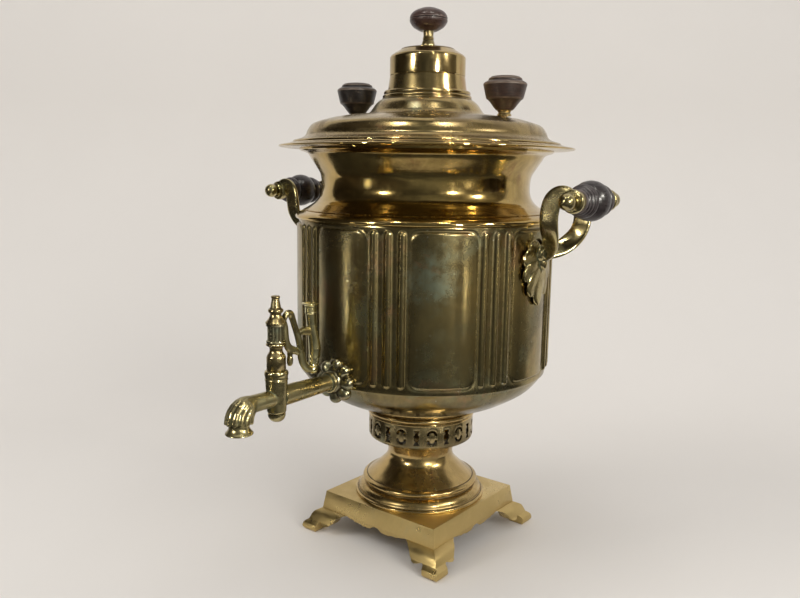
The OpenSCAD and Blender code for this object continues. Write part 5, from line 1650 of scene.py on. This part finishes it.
@dataclass
class Studio:
    """Pale cloth-grey sweep, a glowing screen of painted reflection for the brass, soft light and the camera
    at the photograph's angle.
    """

    azimuth: float = 0.64336
    distance: float = 683.72
    height: float = 324.47
    pitch: float = 0.162666
    roll: float = 0.014890
    yaw: float = -0.030124
    lens: float = 35.05
    backdrop: Colour = (0.73, 0.695, 0.655)
    bulb_colour: Colour = (1.0, 0.96, 0.86)
    screen_turn: float = 217.0
    screen_first: float = 95.0
    # name, place in metres, width in metres, watts, colour
    lamps: tuple[tuple[str, Colour, float, float, Colour], ...] = (
        ("key", (-0.9, -1.3, 1.5), 0.9, 12.0, (1.0, 0.98, 0.95)),
        ("fill", (1.5, -0.4, 0.9), 1.0, 12.5, (1.0, 0.99, 0.97)),
        ("ceiling", (0.1, 0.1, 2.0), 1.6, 12.0, WHITE))
    # name, degrees round from the camera and up, metres away and wide, watts, height as a share of width
    bulbs: tuple[tuple[str, float, float, float, float, float, float], ...] = (
        ("bulb_left", -44.0, 14.0, 1.35, 0.07, 4.5, 1.0),
        ("bulb_middle", 28.0, 10.0, 1.40, 0.08, 8.0, 1.0),
        ("bulb_right", 57.0, 22.0, 1.35, 0.08, 8.0, 1.0),
        ("bulb_high_left", -38.0, 62.0, 1.45, 0.07, 4.0, 1.0),
        ("bulb_high_right", 28.0, 64.0, 1.45, 0.07, 4.0, 1.0),
        ("strip_middle", 28.0, 4.0, 1.45, 0.012, 0.18, 80.0),
        ("strip_left", -62.0, -8.0, 1.35, 0.02, 0.3, 12.0),
        ("strip_right", 44.0, -8.0, 1.35, 0.02, 0.12, 10.0))

    def toward(self) -> Vector:
        """Level direction from the object to the camera."""
        return Vector((math.sin(self.azimuth), -math.cos(self.azimuth), 0))

    def sweep_material(self) -> bpy.types.Material:
        """Material of the backdrop and floor."""
        made, sheet = blank_material("pale sweep")
        shader = sheet.add("BsdfPrincipled", Roughness=0.9)
        out = sheet.add("OutputMaterial")
        sheet.feed(out, "In0", shader.outputs[0])
        place = sheet.add("TexCoord").outputs["Object"]
        lighter = tuple(c * 1.05 for c in self.backdrop)
        sheet.feed(shader, "Base_Color", sheet.mix(sheet.noise(place, 3.0, 3.0), self.backdrop, lighter))
        return made

    def build_sweep(self) -> None:
        """Models the floor that curves up into the backdrop."""
        outline = [(-1.9, 0.0), (0.25, 0.0), *[(0.25 + 0.5 * math.sin(a), 0.5 - 0.5 * math.cos(a))
                                               for a in np.linspace(0.1, 1.45, 12)], (0.78, 1.0)]
        floor = edge_chain("pale_sweep", [(x / MM, -1.7 / MM, z / MM) for x, z in outline])
        bpy.ops.mesh.extrude_region_move(TRANSFORM_OT_translate={"value": (0, 3.4, 0)})
        bpy.ops.object.mode_set(mode="OBJECT")
        back = -self.toward()
        floor.data.transform(Matrix.Rotation(math.atan2(back.y, back.x), 4, "Z"))
        with editing(floor):
            bpy.ops.mesh.normals_make_consistent(inside=False)
        bpy.ops.object.shade_smooth_by_angle(angle=math.radians(40))
        floor.data.materials.append(self.sweep_material())

    def build_world(self) -> None:
        """Plain pale world, seen by camera and metal alike, with less of it lighting the object."""
        world = bpy.context.scene.world = bpy.data.worlds.new("room")
        world.use_nodes = True
        world.node_tree.nodes.clear()
        sheet = Sheet(world.node_tree)
        lit = sheet.add("Background", Color=(0.60, 0.60, 0.60, 1.0), Strength=0.6)
        plain = sheet.add("Background", Color=rgba(self.backdrop), Strength=1.0)
        path = sheet.add("LightPath").outputs
        seen = sheet.math("MAXIMUM", path["Is Camera Ray"],
                          sheet.math("MAXIMUM", path["Is Glossy Ray"], path["Is Transmission Ray"]))
        both = sheet.add("MixShader", In0=seen, In1=lit.outputs[0], In2=plain.outputs[0])
        sheet.feed(sheet.add("OutputWorld"), "In0", both.outputs[0])

    def flag_material(self) -> bpy.types.Material:
        """Painted reflection of a dark room: a dim glowing screen that the brass mirrors, darker to the left,
        brighter to the right and further off, and blotched.
        """
        made, sheet = blank_material("painted reflection screen")
        place = sheet.add("TexCoord").outputs["Object"]
        rightward = Vector((0, 0, 1)).cross(self.toward())
        across = sheet.add("VectorMath", operation="DOT_PRODUCT", In0=place,
                           In1=tuple(rightward)).outputs["Value"]
        level = sheet.mapped(place, Scale=(1.0, 1.0, 0.0))
        reach = sheet.add("VectorMath", operation="LENGTH", In0=level).outputs["Value"]
        tall = sheet.add("SeparateXYZ", In0=place).outputs[2]
        # painted reflection: the glow of a dark room, darkest on the left and brightest on the right
        left, middle, right = (0.034, 0.028, 0.022), (0.125, 0.124, 0.110), (0.18, 0.16, 0.12)
        colour = sheet.mix(sheet.span(across, -1.0, -0.1), left, middle)
        colour = sheet.mix(sheet.span(across, 0.3, 1.2), colour, right)
        blotch = sheet.span(sheet.noise(place, 2.2, 3.0, 0.6), 0.35, 0.7, 0.55, 1.35)
        near = sheet.span(reach, 0.3, 1.45, 0.5, 1.6)
        low = sheet.span(tall, 0.12, 0.4, 1.0, 0.55)
        high = sheet.span(tall, 0.7, 1.6, 0.0, 0.5)
        power = sheet.times(sheet.times(near, blotch), sheet.plus(low, high))
        glow = sheet.add("Emission", Color=colour, Strength=power)
        sheet.feed(sheet.add("OutputMaterial"), "In0", glow.outputs[0])
        return made

    def build_flag(self) -> None:
        """Models the dim glowing screen of painted reflection round the camera's side, which only the metal
        sees.
        """
        profile = [(0.27, 0.002), (1.55, 0.002), (1.6, 0.05), (1.6, 0.5), (1.58, 1.0), (1.4, 1.5), (1.0, 1.9),
                   (0.5, 2.1), (0.05, 2.15)]
        screen = edge_chain("dim_screen", [(r / MM, 0.0, z / MM) for r, z in profile])
        ahead = self.toward()
        bpy.ops.mesh.spin(steps=54, angle=math.radians(self.screen_turn), center=(0, 0, 0), axis=(0, 0, 1))
        clean(screen)
        first = math.atan2(ahead.y, ahead.x) + math.radians(self.screen_first)
        screen.data.transform(Matrix.Rotation(first, 4, "Z"))
        screen.data.materials.append(self.flag_material())
        screen.visible_camera = screen.visible_shadow = screen.visible_diffuse = False

    def place_lamp(self, name: str, place: Vector, size: float, power: float, colour: Colour,
                   mirrored: bool, tall: float = 1.0) -> None:
        """Sets an area lamp that faces the object.

        Args:
            name: The lamp's name.
            place: Where it hangs, in metres.
            size: Its width in metres.
            power: Its power in watts.
            colour: Its colour.
            mirrored: Whether the metal mirrors the lamp itself, which then lights nothing else.
            tall: Its height as a share of its width.
        """
        data = bpy.data.lights.new(name, "AREA")
        data.shape = "RECTANGLE"
        data.size, data.size_y, data.energy, data.color = size, size * tall, power, colour
        lamp = bpy.data.objects.new(name, data)
        bpy.context.collection.objects.link(lamp)
        lamp.location = place
        lamp.rotation_euler = (Vector((0, 0, 0.2)) - place).to_track_quat("-Z", "Y").to_euler()
        lamp.visible_glossy = mirrored
        lamp.visible_diffuse = not mirrored
        lamp.visible_camera = False

    def build_lamps(self) -> None:
        """Sets soft lamps that light wood and cloth, and bulbs for the brass's highlights."""
        for name, place, size, power, colour in self.lamps:
            self.place_lamp(name, Vector(place), size, power, colour, False)
        for name, around, height, far, size, power, tall in self.bulbs:
            turn = Matrix.Rotation(math.radians(around), 3, "Z")
            level = turn @ self.toward() * math.cos(math.radians(height))
            place = (level + Vector((0, 0, math.sin(math.radians(height))))) * far + Vector((0, 0, 0.3))
            self.place_lamp(name, place, size, power, self.bulb_colour, True, tall)

    def build_camera(self) -> None:
        """Camera with the pose that was fitted to the photograph."""
        az, yaw, pitch, roll = self.azimuth, self.yaw, self.pitch, self.roll
        turn = Matrix.Rotation(az, 3, "Z")
        ahead = Vector((math.sin(yaw) * math.cos(pitch), math.cos(yaw) * math.cos(pitch), -math.sin(pitch)))
        right0 = Vector((math.cos(yaw), -math.sin(yaw), 0))
        up0 = right0.cross(ahead)
        right = turn @ (right0 * math.cos(roll) + up0 * math.sin(roll))
        up = turn @ (up0 * math.cos(roll) - right0 * math.sin(roll))
        ahead = turn @ ahead
        data = bpy.data.cameras.new("photo_view")
        data.lens, data.sensor_width = self.lens, 36.0
        camera = bpy.data.objects.new("photo_view", data)
        bpy.context.collection.objects.link(camera)
        place = self.toward() * self.distance * MM
        camera.matrix_world = Matrix((
            (right.x, up.x, -ahead.x, place.x),
            (right.y, up.y, -ahead.y, place.y),
            (right.z, up.z, -ahead.z, self.height * MM),
            (0, 0, 0, 1)))
        bpy.context.scene.camera = camera

    def build(self) -> None:
        """Builds the stage, the light and the camera."""
        self.build_sweep()
        self.build_world()
        self.build_flag()
        self.build_lamps()
        self.build_camera()
        bpy.context.scene.view_settings.view_transform = "Standard"


def dress_hidden() -> None:
    """Dresses the CAD nodes that stay as they are: inner parts and fasteners."""
    hidden = {SOOT: ("fire_tube", "fire_grate"), ARM_BRASS: ("handle_rod_right", "handle_rod_left"),
              LID_BRASS: ("tank_floor", "bracket_rivets", "lid_nuts", "cap_nut")}
    for finish, nodes in hidden.items():
        for node in nodes:
            materials = bpy.data.objects[node].data.materials
            materials.clear()
            materials.append(finish.material())


def main() -> None:
    """Builds every part of the samovar, then its stage."""
    logging.basicConfig(level=logging.INFO, format="%(name)s: %(message)s")
    for part in (Base(), Urn(), Handles(), Tap(), TapKey(), Lid(), ChimneyCap()):
        LOG.info("building %s", type(part).__name__)
        part.build()
    dress_hidden()
    Studio().build()


if __name__ == "__main__":
    main()
